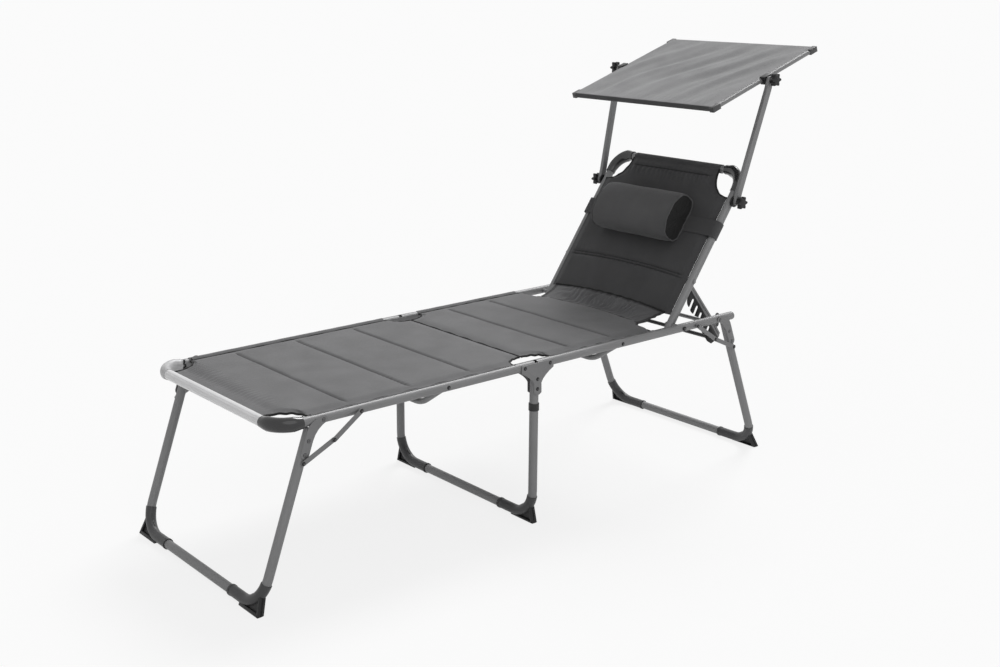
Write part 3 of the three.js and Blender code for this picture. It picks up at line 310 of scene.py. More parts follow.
def shader_group(name, given, put_out):
    """An empty node group with its named sockets, and the outputs of its input node."""
    kinds = {"Colour": "NodeSocketColor", "Normal": "NodeSocketVector"}
    group = bpy.data.node_groups.new(name, "ShaderNodeTree")
    for label, value in given.items():
        kind = kinds.get(label, "NodeSocketFloat")
        group.interface.new_socket(label, in_out="INPUT", socket_type=kind).default_value = value
    for label in put_out:
        group.interface.new_socket(label, in_out="OUTPUT", socket_type=kinds.get(label, "NodeSocketFloat"))
    return group, add_node(group, "NodeGroupInput")


# Fine grain of paint and moulded plastic: a little change of shade and roughness, and a very low bump.
grain_detail = 3
grain_cloud = 7
grain_dark = 0.88
grain_light = 1.12
grain_relief = 0.0002
paint_shine = 0.3
grain, grain_given = shader_group(
    "surface_grain",
    {"Colour": (0.5, 0.5, 0.5, 1), "Roughness": 0.4, "Scale": 200, "Depth": 0.1},
    ("Colour", "Roughness", "Normal"),
)
grain_place = add_node(grain, "ShaderNodeTexCoord")["Object"]
grain_fine = {"Vector": grain_place, "Scale": grain_given["Scale"], "Detail": grain_detail}
grain_broad = {"Vector": grain_place, "Scale": grain_cloud}
grain_range = {
    "Value": add_node(grain, "ShaderNodeTexNoise", grain_broad)[0],
    "To Min": grain_dark,
    "To Max": grain_light,
}
grain_shade = add_node(grain, "ShaderNodeMapRange", grain_range)["Result"]
grain_tint = {0: grain_given["Colour"], "Scale": grain_shade}
grain_rough = {0: grain_given["Roughness"], 1: grain_shade}
grain_bump = {
    "Height": add_node(grain, "ShaderNodeTexNoise", grain_fine)[0],
    "Strength": grain_given["Depth"],
    "Distance": grain_relief,
}
grain_ends = {
    "Colour": add_node(grain, "ShaderNodeVectorMath", grain_tint, operation="SCALE")[0],
    "Roughness": add_node(grain, "ShaderNodeMath", grain_rough, operation="MULTIPLY")[0],
    "Normal": add_node(grain, "ShaderNodeBump", grain_bump)[0],
}
add_node(grain, "NodeGroupOutput", grain_ends)


def textured(name, plain, texture, pattern, sewn=False):
    """A finish whose pattern comes from a node group, with plain values on the shader's other sockets."""
    finish = bpy.data.materials.new(name)
    finish.use_nodes = True
    tree = finish.node_tree
    surface = tree.nodes["Principled BSDF"].inputs
    for label, value in plain.items():
        surface[label].default_value = value
    if sewn:
        pattern["Seam"] = add_node(tree, "ShaderNodeAttribute", attribute_name="seam")["Fac"]
    drawn = add_node(tree, "ShaderNodeGroup", pattern, node_tree=texture)
    for socket in drawn:
        tree.links.new(socket, surface["Base Color" if socket.name == "Colour" else socket.name])
    return finish


def grained(name, colour, roughness, scale, depth, metallic=0.0, coat=0.0):
    """A paint or a plastic with the fine grain."""
    plain = {
        "Metallic": metallic,
        "Coat Weight": coat,
        "Coat Roughness": roughness / 2,
        "Specular IOR Level": paint_shine,
    }
    pattern = {"Colour": colour, "Roughness": roughness, "Scale": scale, "Depth": depth}
    return textured(name, plain, grain, pattern)


def place_piece(piece, body, finish, slot, *nodes):
    """Gives a piece its finish, lets it move with its body and stand for its CAD nodes."""
    piece.data.materials.clear()
    piece.data.materials.append(finish)
    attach(piece, body)
    if nodes:
        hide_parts(*nodes)
    return piece


silver_paint = grained(
    "silver_paint", steel_colour, steel_roughness, steel_grain, depth=0.12, metallic=0.3, coat=0.05
)


def leg_line(leg, side, *stops):
    """Points of a leg on one side, each by its distance from the middle and its distance up the leg."""
    foot_x = sole_place[leg + "_left_sole"].x
    lean = legs[leg]["lean"]
    return [Vector((foot_x + math.sin(lean) * up, side * y, math.cos(lean) * up)) for y, up in stops]


for leg, shape in legs.items():
    top = shape["top"]
    bar_up = bar_height / math.cos(shape["lean"])
    leg_tube = tube_along(
        leg + "_leg_u_tube",
        leg_line(leg, 1, (rail_y, top), (rail_y, bar_up), (-rail_y, bar_up), (-rail_y, top)),
        leg_bend, tube_radius, tube_wall,
    )
    place_piece(leg_tube, leg + "_leg", silver_paint, "frame_steel", leg + "_leg_tube")

# Feet
# A moulded elbow sleeve is pushed on to each floor corner.
# A web with a thick rim and a sole stands out of it to the floor.
foot_wall = 0.0017
foot_gap = 0.0003
foot_radius = tube_radius + foot_gap + foot_wall
foot_start_turn = math.radians(12)
foot_bar_end = 0.178
foot_lip_width = 0.006
foot_lip_radius = 0.0155
fin_top_y = 0.3185
fin_top_up = 0.046
fin_toe_y = 0.333
fin_inner_y = 0.236
fin_rim_width = 0.008
fin_rim_thickness = 0.018
fin_web_thickness = 0.006
sole_depth = 0.006
sole_thickness = 0.018
floor_overrun = 0.008
foot_bevel = 0.0012
sleeve_colour = (0.075, 0.075, 0.077, 1)
fin_colour = (0.018, 0.018, 0.019, 1)
plastic_grain = 700
sleeve_plastic = grained("sleeve_plastic", sleeve_colour, roughness=0.42, scale=plastic_grain, depth=0.35)
fin_plastic = grained("fin_plastic", fin_colour, roughness=0.48, scale=plastic_grain, depth=0.35)


def round_edges(piece, width, segments, sharper_than):
    """Bevels the edges that turn by more than an angle, and shades the piece smooth."""
    rounding = piece.modifiers.new("edges", "BEVEL")
    rounding.width = width
    rounding.segments = segments
    rounding.limit_method = "ANGLE"
    rounding.angle_limit = math.radians(sharper_than)
    apply_modifiers(piece)
    smooth(piece)


def thick_plate(name, outline, thickness, bevel, floor_cut=False):
    """A flat plate centred on its outline, with its edges rounded. It may be cut off at the floor."""
    piece = primitive(
        bpy.ops.mesh.primitive_circle_add, name, vertices=len(outline), radius=1, fill_type="NGON"
    )
    for vertex, corner in zip(piece.data.vertices, outline):
        vertex.co = corner - thickness / 2
    bpy.ops.object.mode_set(mode="EDIT")
    bpy.ops.mesh.select_all(action="SELECT")
    extrude(thickness)
    bpy.ops.mesh.select_all(action="SELECT")
    bpy.ops.mesh.normals_make_consistent(inside=False)
    if floor_cut:
        bpy.ops.mesh.bisect(plane_co=(0, 0, 0), plane_no=(0, 0, 1), clear_inner=True, use_fill=True)
    bpy.ops.object.mode_set(mode="OBJECT")
    round_edges(piece, bevel, segments=3, sharper_than=40)
    return piece


def joined(name, *pieces):
    """One piece made of several, under a new name."""
    only(*pieces)
    bpy.ops.object.join()
    piece = bpy.context.object
    piece.name = name
    return piece


knee_reach = leg_bend * math.tan((math.pi / 2 - foot_start_turn) / 2)
knee_y = rail_y - leg_bend + knee_reach
start_y = knee_y + knee_reach * math.sin(foot_start_turn)
sole_y = fin_toe_y - fin_rim_width / 2
for leg, shape in legs.items():
    lean = shape["lean"]
    bar_up = bar_height / math.cos(lean)
    start_up = bar_up + knee_reach * math.cos(foot_start_turn)
    across = Vector((math.cos(lean), 0, -math.sin(lean)))
    for side_name, side in sides.items():
        sleeve = tube_along(
            "sleeve",
            leg_line(leg, side, (start_y, start_up), (knee_y, bar_up), (foot_bar_end, bar_up)),
            leg_bend, foot_radius, foot_wall,
        )
        lip = tube_along(
            "lip",
            leg_line(leg, side, (foot_bar_end + foot_lip_width, bar_up), (foot_bar_end, bar_up)),
            0, foot_lip_radius, foot_lip_radius - foot_radius + foot_wall,
        )
        sleeve = joined(f"{leg}_foot_sleeve_{side_name}", lip, sleeve)
        place_piece(sleeve, leg + "_leg", sleeve_plastic, "foot_plastic", f"{leg}_leg_foot_{side_name}")
        plates = []
        for thickness, bevel, stops in (
            (fin_web_thickness, foot_bevel / 2, (
                (fin_top_y - foot_radius, fin_top_up + foot_radius),
                (fin_top_y, fin_top_up),
                (fin_toe_y, -floor_overrun),
                (fin_inner_y, -floor_overrun),
                (fin_inner_y, bar_up),
            )),
            (fin_rim_thickness, foot_bevel, (
                (fin_top_y, fin_top_up),
                (fin_toe_y, -floor_overrun),
                (fin_toe_y - fin_rim_width, -floor_overrun),
                (fin_top_y - fin_rim_width, fin_top_up),
            )),
            (sole_thickness, foot_bevel, (
                (fin_inner_y, sole_depth),
                (sole_y, sole_depth),
                (sole_y, -floor_overrun),
                (fin_inner_y, -floor_overrun),
            )),
        ):
            outline = leg_line(leg, side, *stops)
            plates.append(thick_plate("plate", outline, across * thickness, bevel, floor_cut=True))
        fin = joined(f"{leg}_foot_fin_{side_name}", *plates)
        place_piece(fin, leg + "_leg", fin_plastic, "foot_plastic")

# Collars
# A short dark plastic band sits on each middle leg, some way below its bracket.
collar_low = 0.332
collar_height = 0.020
collar_wall = 0.002
collar_colour = (0.030, 0.030, 0.031, 1)
collar_plastic = grained("collar_plastic", collar_colour, roughness=0.4, scale=plastic_grain, depth=0.3)
for side_name, side in sides.items():
    collar = tube_along(
        "leg_collar_" + side_name,
        leg_line("mid", side, (rail_y, collar_low), (rail_y, collar_low + collar_height)),
        0, tube_radius + foot_gap + collar_wall, collar_wall,
    )
    place_piece(collar, "mid_leg", collar_plastic, "black_plastic", "mid_leg_collar_" + side_name)

# Brackets and braces
# Pressed steel plates carry the legs, and two links brace each folding leg.
# Their edges are lightly rounded, and dark rivet heads stand on their faces.
plate_colour = (0.20, 0.20, 0.203, 1)
plate_bevel = 0.0005
plate_paint = grained(
    "plate_paint", plate_colour, roughness=0.42, scale=steel_grain, depth=0.12, metallic=0.5, coat=0.1
)
rivet_colour = (0.024, 0.024, 0.025, 1)
rivet_paint = grained("rivet_steel", rivet_colour, roughness=0.35, scale=400, depth=0.1, metallic=0.6)
rivet_bright_share = 0.27
merge_distance = 0.00002


def dressed_copy(node, bevel, finish, slot):
    """The CAD piece itself with merged faces, rounded edges and smooth curves, in its place."""
    source = frame["nodes"][node]
    piece = bpy.data.objects.new(node + "_piece", source.data.copy())
    scene.collection.objects.link(piece)
    only(piece)
    bpy.ops.mesh.customdata_custom_splitnormals_clear()
    bpy.ops.object.mode_set(mode="EDIT")
    bpy.ops.mesh.select_all(action="SELECT")
    bpy.ops.mesh.remove_doubles(threshold=merge_distance)
    bpy.ops.mesh.dissolve_limited(angle_limit=math.radians(1))
    bpy.ops.object.mode_set(mode="OBJECT")
    round_edges(piece, bevel, segments=2, sharper_than=50)
    return place_piece(piece, source["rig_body"], finish, slot, node)


def rivet_heads(name, places, radius, height, body):
    """Low round heads that stand out sideways from their places. The middle of each takes the lighter plate
    paint.
    """
    heads = []
    for place in places:
        head = primitive(
            bpy.ops.mesh.primitive_uv_sphere_add,
            "head",
            segments=20,
            ring_count=12,
            radius=radius,
            location=place,
            rotation=(math.pi / 2, 0, 0),
        )
        bpy.ops.object.transform_apply(location=False, rotation=True, scale=False)
        head.scale.y = height / radius
        bpy.ops.object.transform_apply(location=True, rotation=True, scale=True)
        heads.append(head)
    piece = joined(name, *heads)
    smooth(piece)
    place_piece(piece, body, rivet_paint, "plate_steel")
    piece.data.materials.append(plate_paint)
    for face in piece.data.polygons:
        off_centre = min(math.hypot(face.center.x - place.x, face.center.z - place.z) for place in places)
        face.material_index = 1 if off_centre < radius * rivet_bright_share else 0
    return piece


for node in sorted(frame["nodes"]):
    if "bracket" in node or "brace" in node or node.startswith("backrest_pivot"):
        dressed_copy(node, plate_bevel, plate_paint, "plate_steel")

plate_thickness = 0.0023
link_offset = 0.0035
bracket_face = rail_y + tube_radius + plate_thickness
link_low_face = bracket_face + link_offset
link_high_face = link_low_face + plate_thickness
rivet_radius = 0.0056
rivet_height = 0.0021
flat_rivet_height = 0.00138
gusset_reaches = (0.4456, 0.4097)
hinge_drops = (0.038, 0.066)
hinge_pin_offsets = (-0.045, 0.045)
fold_x = (joint_place["foot_fold"].x + joint_place["head_fold"].x) / 2
knee_inset = 0.0241
knee_drop = 0.0561
for leg, facing in (("front", 1), ("rear", -1)):
    pivot = joint_place[leg + "_leg_fold"]
    rail_pin = joint_place[leg + "_brace_rail_pin"]
    leg_pin = joint_place[leg + "_brace_leg_pin"]
    for side_name, side in sides.items():
        on_bracket = leg_line(leg, side, *((bracket_face, up) for up in gusset_reaches))
        on_bracket.append(Vector((pivot.x, side * bracket_face, pivot.z)))
        on_upper = [
            Vector((rail_pin.x, side * link_high_face, rail_pin.z)),
            Vector((pivot.x + facing * knee_inset, side * link_high_face, pivot.z - knee_drop)),
        ]
        on_lower = [Vector((leg_pin.x, side * link_low_face, leg_pin.z))]
        for plate, places, height, body in (
            ("bracket", on_bracket, flat_rivet_height, "_leg"),
            ("upper", on_upper, rivet_height, "_brace_upper"),
            ("lower", on_lower, rivet_height, "_brace_lower"),
        ):
            rivet_heads(f"{leg}_{plate}_rivets_{side_name}", places, rivet_radius, height, leg + body)
for side_name, side in sides.items():
    places = [Vector((fold_x + offset, side * bracket_face, rail_z)) for offset in hinge_pin_offsets]
    places += leg_line("mid", side, *((bracket_face, rail_z - drop) for drop in hinge_drops))
    rivet_heads(f"fold_bracket_rivets_{side_name}", places, rivet_radius, rivet_height, "mid_leg")

# Rails
# The foot section is one tube with two round corners.
# The head section has two straight rails with domed plugs.
foot_bend = 0.064
corner_height = 1.24
foot_end_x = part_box("foot_frame_tube")[0].x + tube_radius
foot_rail_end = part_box("foot_frame_tube")[1].x
foot_frame = tube_along(
    "foot_frame_bent_tube",
    [
        Vector((foot_rail_end, rail_y, rail_z)),
        Vector((foot_end_x, rail_y, rail_z)),
        Vector((foot_end_x, -rail_y, rail_z)),
        Vector((foot_rail_end, -rail_y, rail_z)),
    ],
    foot_bend, tube_radius, tube_wall, bend_height=corner_height,
)
place_piece(foot_frame, "foot_section", silver_paint, "frame_steel", "foot_frame_tube")

# The bar at the foot end is a bright drawn profile, and a painted elbow is pressed over each corner. The
# bar's light paint is partly its own bright metal and partly painted light, since the key light leaves its
# face to the foot end in shade.
lit_bar_colour = (0.76, 0.76, 0.765, 1)
bright_lit_bar = grained(
    "bright_lit_bar", lit_bar_colour, roughness=0.36, scale=steel_grain, depth=0.06, metallic=0.1, coat=0.15
)
# The far (+Y) foot elbow takes this light copy of the elbow paint: a painted highlight for the sky light on
# its top.
lit_elbow_colour = (0.50, 0.50, 0.505, 1)
lit_elbow_paint = grained(
    "lit_elbow_paint", lit_elbow_colour, roughness=0.42, scale=steel_grain, depth=0.06, metallic=0.1
)
# The near foot elbow and the backrest elbows take this dark paint: partly their own dark tone and partly
# painted shade for the dark surroundings reflected in them.
shaded_elbow_colour = (0.022, 0.022, 0.023, 1)
shaded_elbow_paint = grained(
    "shaded_elbow_paint", shaded_elbow_colour, roughness=0.24, scale=500, depth=0.05, metallic=0.1, coat=0.6
)
sleeve_lift = 0.0014
bar_sleeve_wall = sleeve_lift * 0.8
elbow_wall = sleeve_lift * 1.2
groove_depth = 0.0010
groove_turns = (4, 52)
groove_width = 4.5


def bell(offset, width):
    """One at no offset, dying out over the width."""
    return math.exp(-(offset / width) ** 2)


def face_outwards(piece):
    only(piece)
    bpy.ops.object.mode_set(mode="EDIT")
    bpy.ops.mesh.select_all(action="SELECT")
    bpy.ops.mesh.normals_make_consistent(inside=False)
    bpy.ops.object.mode_set(mode="OBJECT")


def ribbed_bar(name, start, stop, radius, up):
    """A thin sleeve over a straight bar, with grooves drawn along it. Turns run from its outer side."""
    out = (stop - start).normalized().cross(up)
    bar = primitive(
        bpy.ops.mesh.primitive_cylinder_add,
        name,
        vertices=96,
        radius=radius,
        depth=1,
        end_fill_type="NOTHING",
    )
    for vertex in bar.data.vertices:
        place = vertex.co.copy()
        turn = math.degrees(math.atan2(place.y, place.x))
        reach = radius - groove_depth * max(bell(turn - groove, groove_width) for groove in groove_turns)
        around = out * math.cos(math.radians(turn)) + up * math.sin(math.radians(turn))
        vertex.co = (start if place.z < 0 else stop) + around * reach
    face_outwards(bar)
    thicken(bar, bar_sleeve_wall)
    smooth(bar)
    return bar


def corner_elbow(name, before, corner, after, bend, height, stub):
    """A sleeve over one corner of a bent tube, running a little way on to its straight parts."""
    into = (corner - before).normalized()
    out = (after - corner).normalized()
    reach = bend * math.tan(into.angle(out) / 2) + stub
    return tube_along(
        name,
        [corner - into * reach, corner, corner + out * reach],
        bend, tube_radius + 2 * sleeve_lift, elbow_wall, bend_height=height,
    )


bar_end_y = rail_y - foot_bend
bar_sleeve = ribbed_bar(
    "foot_end_bar_sleeve",
    Vector((foot_end_x, bar_end_y, rail_z)),
    Vector((foot_end_x, -bar_end_y, rail_z)),
    tube_radius + sleeve_lift, Vector((0, 0, 1)),
)
place_piece(bar_sleeve, "foot_section", bright_lit_bar, "frame_steel")
for side_name, side in sides.items():
    elbow = corner_elbow(
        "foot_corner_elbow_" + side_name,
        Vector((foot_rail_end, side * rail_y, rail_z)),
        Vector((foot_end_x, side * rail_y, rail_z)),
        Vector((foot_end_x, 0, rail_z)),
        foot_bend, corner_height, stub=0.004,
    )
    # One elbow part in two copies of its paint: the far one painted lit, the near one painted shaded.
    place_piece(elbow, "foot_section", shaded_elbow_paint if side < 0 else lit_elbow_paint, "frame_steel")
cap_depth = 0.0075
for side_name, side in sides.items():
    rail = tube_along(
        "head_rail_tube_" + side_name,
        [Vector((rail_low.x, side * rail_y, rail_z)), Vector((rail_high.x, side * rail_y, rail_z))],
        0, tube_radius, tube_wall,
    )
    place_piece(rail, "head_section", silver_paint, "frame_steel", "head_rail_" + side_name)
    plug = primitive(
        bpy.ops.mesh.primitive_uv_sphere_add,
        "rail_plug_" + side_name,
        segments=32,
        ring_count=16,
        radius=tube_radius,
        location=(rail_high.x, side * rail_y, rail_z),
        rotation=(0, math.pi / 2, 0),
    )
    bpy.ops.object.transform_apply(location=True, rotation=True, scale=True)
    for vertex in plug.data.vertices:
        vertex.co.x = rail_high.x + (vertex.co.x - rail_high.x) * cap_depth / tube_radius
    smooth(plug)
    place_piece(plug, "head_section", silver_paint, "foot_plastic", "rail_cap_" + side_name)

# Spreaders and rest bar
# A bent rod dips under each panel, and a thin bar crosses between the rails for the backrest's stay.
spreader_dip = 0.072
spreader_radius = 0.008
spreader_bend = 0.100
spreader_slope = math.radians(33)
spreader_knee_y = rail_y - spreader_dip / math.tan(spreader_slope)
rail_rivet_face = rail_y + tube_radius
pivot_washer = 0.0018
pivot_head_share = 1.3
for node, body in (("foot_spreader", "foot_section"), ("seat_spreader", "head_section")):
    spreader_low, spreader_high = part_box(node)
    spreader_x = (spreader_low.x + spreader_high.x) / 2
    rod = tube_along(
        node + "_rod",
        [
            Vector((spreader_x, -rail_y, rail_z)),
            Vector((spreader_x, -spreader_knee_y, rail_z - spreader_dip)),
            Vector((spreader_x, spreader_knee_y, rail_z - spreader_dip)),
            Vector((spreader_x, rail_y, rail_z)),
        ],
        spreader_bend, spreader_radius, 0, ring=24,
    )
    place_piece(rod, body, silver_paint, "frame_steel", node)
    places = [Vector((spreader_x, side * rail_rivet_face, rail_z)) for side in sides.values()]
    rivet_heads(node + "_rivets", places, rivet_radius, rivet_height, body)
dressed_copy("stay_rest_bar", plate_bevel, silver_paint, "frame_steel")
recline = joint_place["backrest_recline"]
rivet_heads(
    "backrest_pivot_heads",
    [Vector((recline.x, side * (rail_rivet_face + pivot_washer), rail_z)) for side in sides.values()],
    rivet_radius * pivot_head_share, rivet_height, "head_section",
)

# Seat panels
# Two padded cloth panels hang between the rails, sewn across into channels.
# Rounded cut-outs clear the hinges.
seat_colour = (0.152, 0.152, 0.155, 1)
seat_thread = 260
seat_weave_depth = 0.35
panel_edge_y = 0.3052
panel_edge_z = 0.4695
panel_skin = 0.001
panel_crown = 0.0062
panel_belly = 0.005
panel_end_taper = 0.036
panel_band = 0.030
panel_unevenness = 0.0011
channel_edge_loft = 0.72
channel_loft_gain = 0.28
foot_start = foot_end_x + 0.0088
panel_gap = 0.0030
foot_stop = fold_x - panel_gap
seat_start = fold_x + panel_gap
hip_start = foot_end_x + 1.264
hip_length = 0.030
hip_half_width = 0.2232
seat_stop = foot_end_x + 1.334
corner_cut = (0.083, 0.068)
fold_cut = (0.062, 0.046)
foot_seams = [foot_end_x + x for x in (0.217, 0.411, 0.607)]
seat_seams = [foot_end_x + x for x in (0.961, 1.124, 1.318)]
tail_seam_bow = 0.026
tail_seam_half = 0.225
seam_width = 0.0047
seam_depth = 0.0058
seam_end_inset = 0.025
seam_line_width = 0.0020
seam_stations = (-2, -1.3, -0.8, -0.4, 0, 0.4, 0.8, 1.3, 2)
cut_stations = 16
pucker_height = 0.0006
pucker_pitch = 0.016
pucker_reach = 0.016
pucker_waver = 1.5
end_pucker_x = foot_end_x + 0.052
end_pucker_height = 0.0028
end_pucker_pitch = 0.0165
end_pucker_reach = 0.024
end_pucker_shift = 0.010
end_pucker_slant = 0.15
end_pucker_least = 0.12
end_pucker_fade = 1.4
end_pucker_waver = 1.2
end_step_width = 0.030
end_step_share = 0.72
station_step = 0.007
station_least = 0.0008
row_count = 180

# Woven cloth: two crossed sets of threads, cloudy shade, and a darker line where the panel is sewn. The same
# seam mark also darkens some places as painted shade.
thread_waver = 0.6
thread_relief = 0.0004
cloud_scale = 11
cloud_detail = 5
cloud_dark = 0.90
cloud_light = 1.10
seam_and_shade_tone = 0.22
cloth_roughness = 0.82
cloth_shine = 0.35
sheen_roughness = 0.45
weave, weave_given = shader_group(
    "woven_cloth",
    {"Colour": (0.1, 0.1, 0.1, 1), "Threads": 250, "Depth": 0.3, "Seam": 0},
    ("Colour", "Normal"),
)
weave_place = add_node(weave, "ShaderNodeTexCoord")["Object"]
weave_threads = {"Vector": weave_place, "Scale": weave_given["Threads"], "Distortion": thread_waver}
weave_crossed = {
    index: add_node(weave, "ShaderNodeTexWave", weave_threads, bands_direction=direction)["Fac"]
    for index, direction in enumerate(("X", "Y"))
}
weave_cloud = {"Vector": weave_place, "Scale": cloud_scale, "Detail": cloud_detail}
weave_fade = {
    "Value": add_node(weave, "ShaderNodeTexNoise", weave_cloud)[0],
    "From Min": 0.3,
    "From Max": 0.7,
    "To Min": cloud_dark,
    "To Max": cloud_light,
}
weave_seam_and_shade = {"Value": weave_given["Seam"], "To Min": 1, "To Max": seam_and_shade_tone}
weave_shades = {
    0: add_node(weave, "ShaderNodeMapRange", weave_fade)["Result"],
    1: add_node(weave, "ShaderNodeMapRange", weave_seam_and_shade)["Result"],
}
weave_tint = {
    0: weave_given["Colour"],
    "Scale": add_node(weave, "ShaderNodeMath", weave_shades, operation="MULTIPLY")[0],
}
weave_bump = {
    "Height": add_node(weave, "ShaderNodeMath", weave_crossed, operation="MULTIPLY")[0],
    "Strength": weave_given["Depth"],
    "Distance": thread_relief,
}
weave_ends = {
    "Colour": add_node(weave, "ShaderNodeVectorMath", weave_tint, operation="SCALE")[0],
    "Normal": add_node(weave, "ShaderNodeBump", weave_bump)[0],
}
add_node(weave, "NodeGroupOutput", weave_ends)


def woven(name, colour, sheen, threads=seat_thread, depth=seat_weave_depth):
    """A cloth finish. The seam attribute of a piece marks its sewn lines, and on some pieces painted shade.
    """
    plain = {
        "Roughness": cloth_roughness,
        "Specular IOR Level": cloth_shine,
        "Sheen Weight": sheen,
        "Sheen Roughness": sheen_roughness,
    }
    return textured(name, plain, weave, {"Colour": colour, "Threads": threads, "Depth": depth}, sewn=True)


seat_cloth = woven("seat_cloth", seat_colour, sheen=0.12)
binding_cloth = woven("binding_tape", (0.010, 0.010, 0.010, 1), sheen=0.05, threads=500, depth=0.4)


def clamp(share):
    return min(max(share, 0), 1)


def eased(share):
    """The same share, leaving 0 and reaching 1 softly."""
    return share * share * (3 - 2 * share)


def wave(turns):
    return math.sin(2 * math.pi * turns)


def uneven(a, b, layer):
    """Smooth noise over two measures, from about -1 to 1. Each layer is another pattern."""
    return noise.noise(Vector((a, b, layer)))


def elliptic_bite(distance, cut):
    """How deep a rounded cut-out reaches at this distance from its corner."""
    length, depth = cut
    share = abs(distance) / length
    return depth * math.sqrt(1 - share * share) if share < 1 else 0


def stations_between(start, stop, seams, cuts):
    """Places along a panel: even ones, and closer ones at the seams and where a cut-out turns fast."""
    places = set(np.linspace(start, stop, round((stop - start) / station_step) + 1))
    for seam in seams:
        places.update(seam + seam_width * share for share in seam_stations)
    for corner, length, toward in cuts:
        for share in np.linspace(0, 1, cut_stations):
            places.add(corner + toward * length * math.sin(math.pi / 2 * share))
    inside = sorted(place for place in places if start <= place <= stop)
    kept = [inside[0]]
    for place in inside[1:]:
        if place - kept[-1] > station_least:
            kept.append(place)
    kept[-1] = stop
    return kept


def skin_of(name, places, faces, angle):
    """A closed skin from its points and faces, facing outwards and shaded smooth."""
    mesh = bpy.data.meshes.new(name)
    mesh.from_pydata(places, [], faces)
    piece = bpy.data.objects.new(name, mesh)
    scene.collection.objects.link(piece)
    face_outwards(piece)
    smooth(piece, angle)
    return piece


def closed_panel(name, stations, rows, point):
    """A closed skin over a grid. point(u, v, top) returns a place and how much of a seam is there, which on
    some pieces is painted shade.
    """
    places = []
    seam = []
    for top in (True, False):
        for u in stations:
            for v in rows:
                place, sewn = point(u, v, top)
                places.append(place)
                seam.append(sewn)
    width = len(rows)
    layer = len(stations) * width
    faces = []
    for i in range(len(stations) - 1):
        for j in range(width - 1):
            a = i * width + j
            faces.append((a, a + width, a + width + 1, a + 1))
            faces.append((layer + a, layer + a + 1, layer + a + width + 1, layer + a + width))
    for i in range(len(stations) - 1):
        low = i * width
        high = low + width - 1
        faces.append((low, layer + low, layer + low + width, low + width))
        faces.append((high, high + width, layer + high + width, layer + high))
    for j in range(width - 1):
        far = (len(stations) - 1) * width + j
        faces.append((j, j + 1, layer + j + 1, layer + j))
        faces.append((far, layer + far, layer + far + 1, far + 1))
    piece = skin_of(name, places, faces, angle=60)
    mark = piece.data.attributes.new("seam", "FLOAT", "POINT")
    mark.data.foreach_set("value", seam)
    return piece


def swell_at(x, v, half_width, start, stop, seams):
    """How full the padding is at a place, from 0 to 1, and how much of a seam is there."""
    band = min((1 - abs(v)) * half_width / panel_band, 1)
    inward = min((x - start) / panel_end_taper, (stop - x) / panel_end_taper, 1)
    ends = 1 - (1 - max(inward, 0)) ** 3
    crease = max(bell(x - seam, seam_width) for seam in seams)
    marks = [start, *seams, stop]
    behind = max((mark for mark in marks if mark <= x), default=start)
    ahead = min((mark for mark in marks if mark > x), default=stop)
    share = (x - behind) / max(ahead - behind, tiny)
    loft = channel_edge_loft + channel_loft_gain * (1 - (2 * share - 1) ** 4)
    sewn = clamp(((1 - abs(v)) * half_width - seam_end_inset) / seam_end_inset + 0.5)
    line = max(bell(x - seam, seam_line_width) for seam in seams) * sewn
    return eased(band) * ends * loft * (1 - crease * sewn * seam_depth / panel_crown), line


def puckers_at(x, y, seams, reach):
    """Small gathers that stand square to a sewn line and die out away from it."""
    near = max(bell(x - seam, reach) for seam in seams)
    drift = uneven(x * 6, y * 14, 0)
    strength = 0.5 + uneven(y * 9, x * 3, 5)
    return pucker_height * near * strength * wave(y / pucker_pitch + pucker_waver * drift)


def end_puckers(x, y):
    """Slanted gathers where the padding begins at the foot end, deeper towards +Y."""
    near = bell(x - end_pucker_x - end_pucker_shift, end_pucker_reach)
    drift = uneven(x * 7, y * 9, 4)
    fade = clamp(0.5 + y / panel_edge_y / end_pucker_fade) ** end_pucker_fade
    share = end_pucker_least + (1 - end_pucker_least) * fade
    phase = (y - end_pucker_slant * (x - end_pucker_x)) / end_pucker_pitch + end_pucker_waver * drift
    return end_pucker_height * near * share * wave(phase)


def end_step(x):
    """The padding stops a little before the foot end, so the cloth there lies lower."""
    return 1 - end_step_share * (1 - eased(clamp((x - end_pucker_x) / end_step_width + 0.5)))


def seat_half_width(x, start, stop, start_cut, stop_cut):
    width = panel_edge_y - elliptic_bite(x - start, start_cut)
    if stop_cut:
        width -= elliptic_bite(stop - x, stop_cut)
    elif x > hip_start:
        share = min((x - hip_start) / hip_length, 1)
        width -= (panel_edge_y - hip_half_width) * math.sqrt(1 - (1 - share) ** 2)
    return width


def sewn_rows():
    """Shares of a panel's half width, closer together at its edges."""
    return [math.sin(math.pi / 2 * share) for share in np.linspace(-1, 1, row_count)]


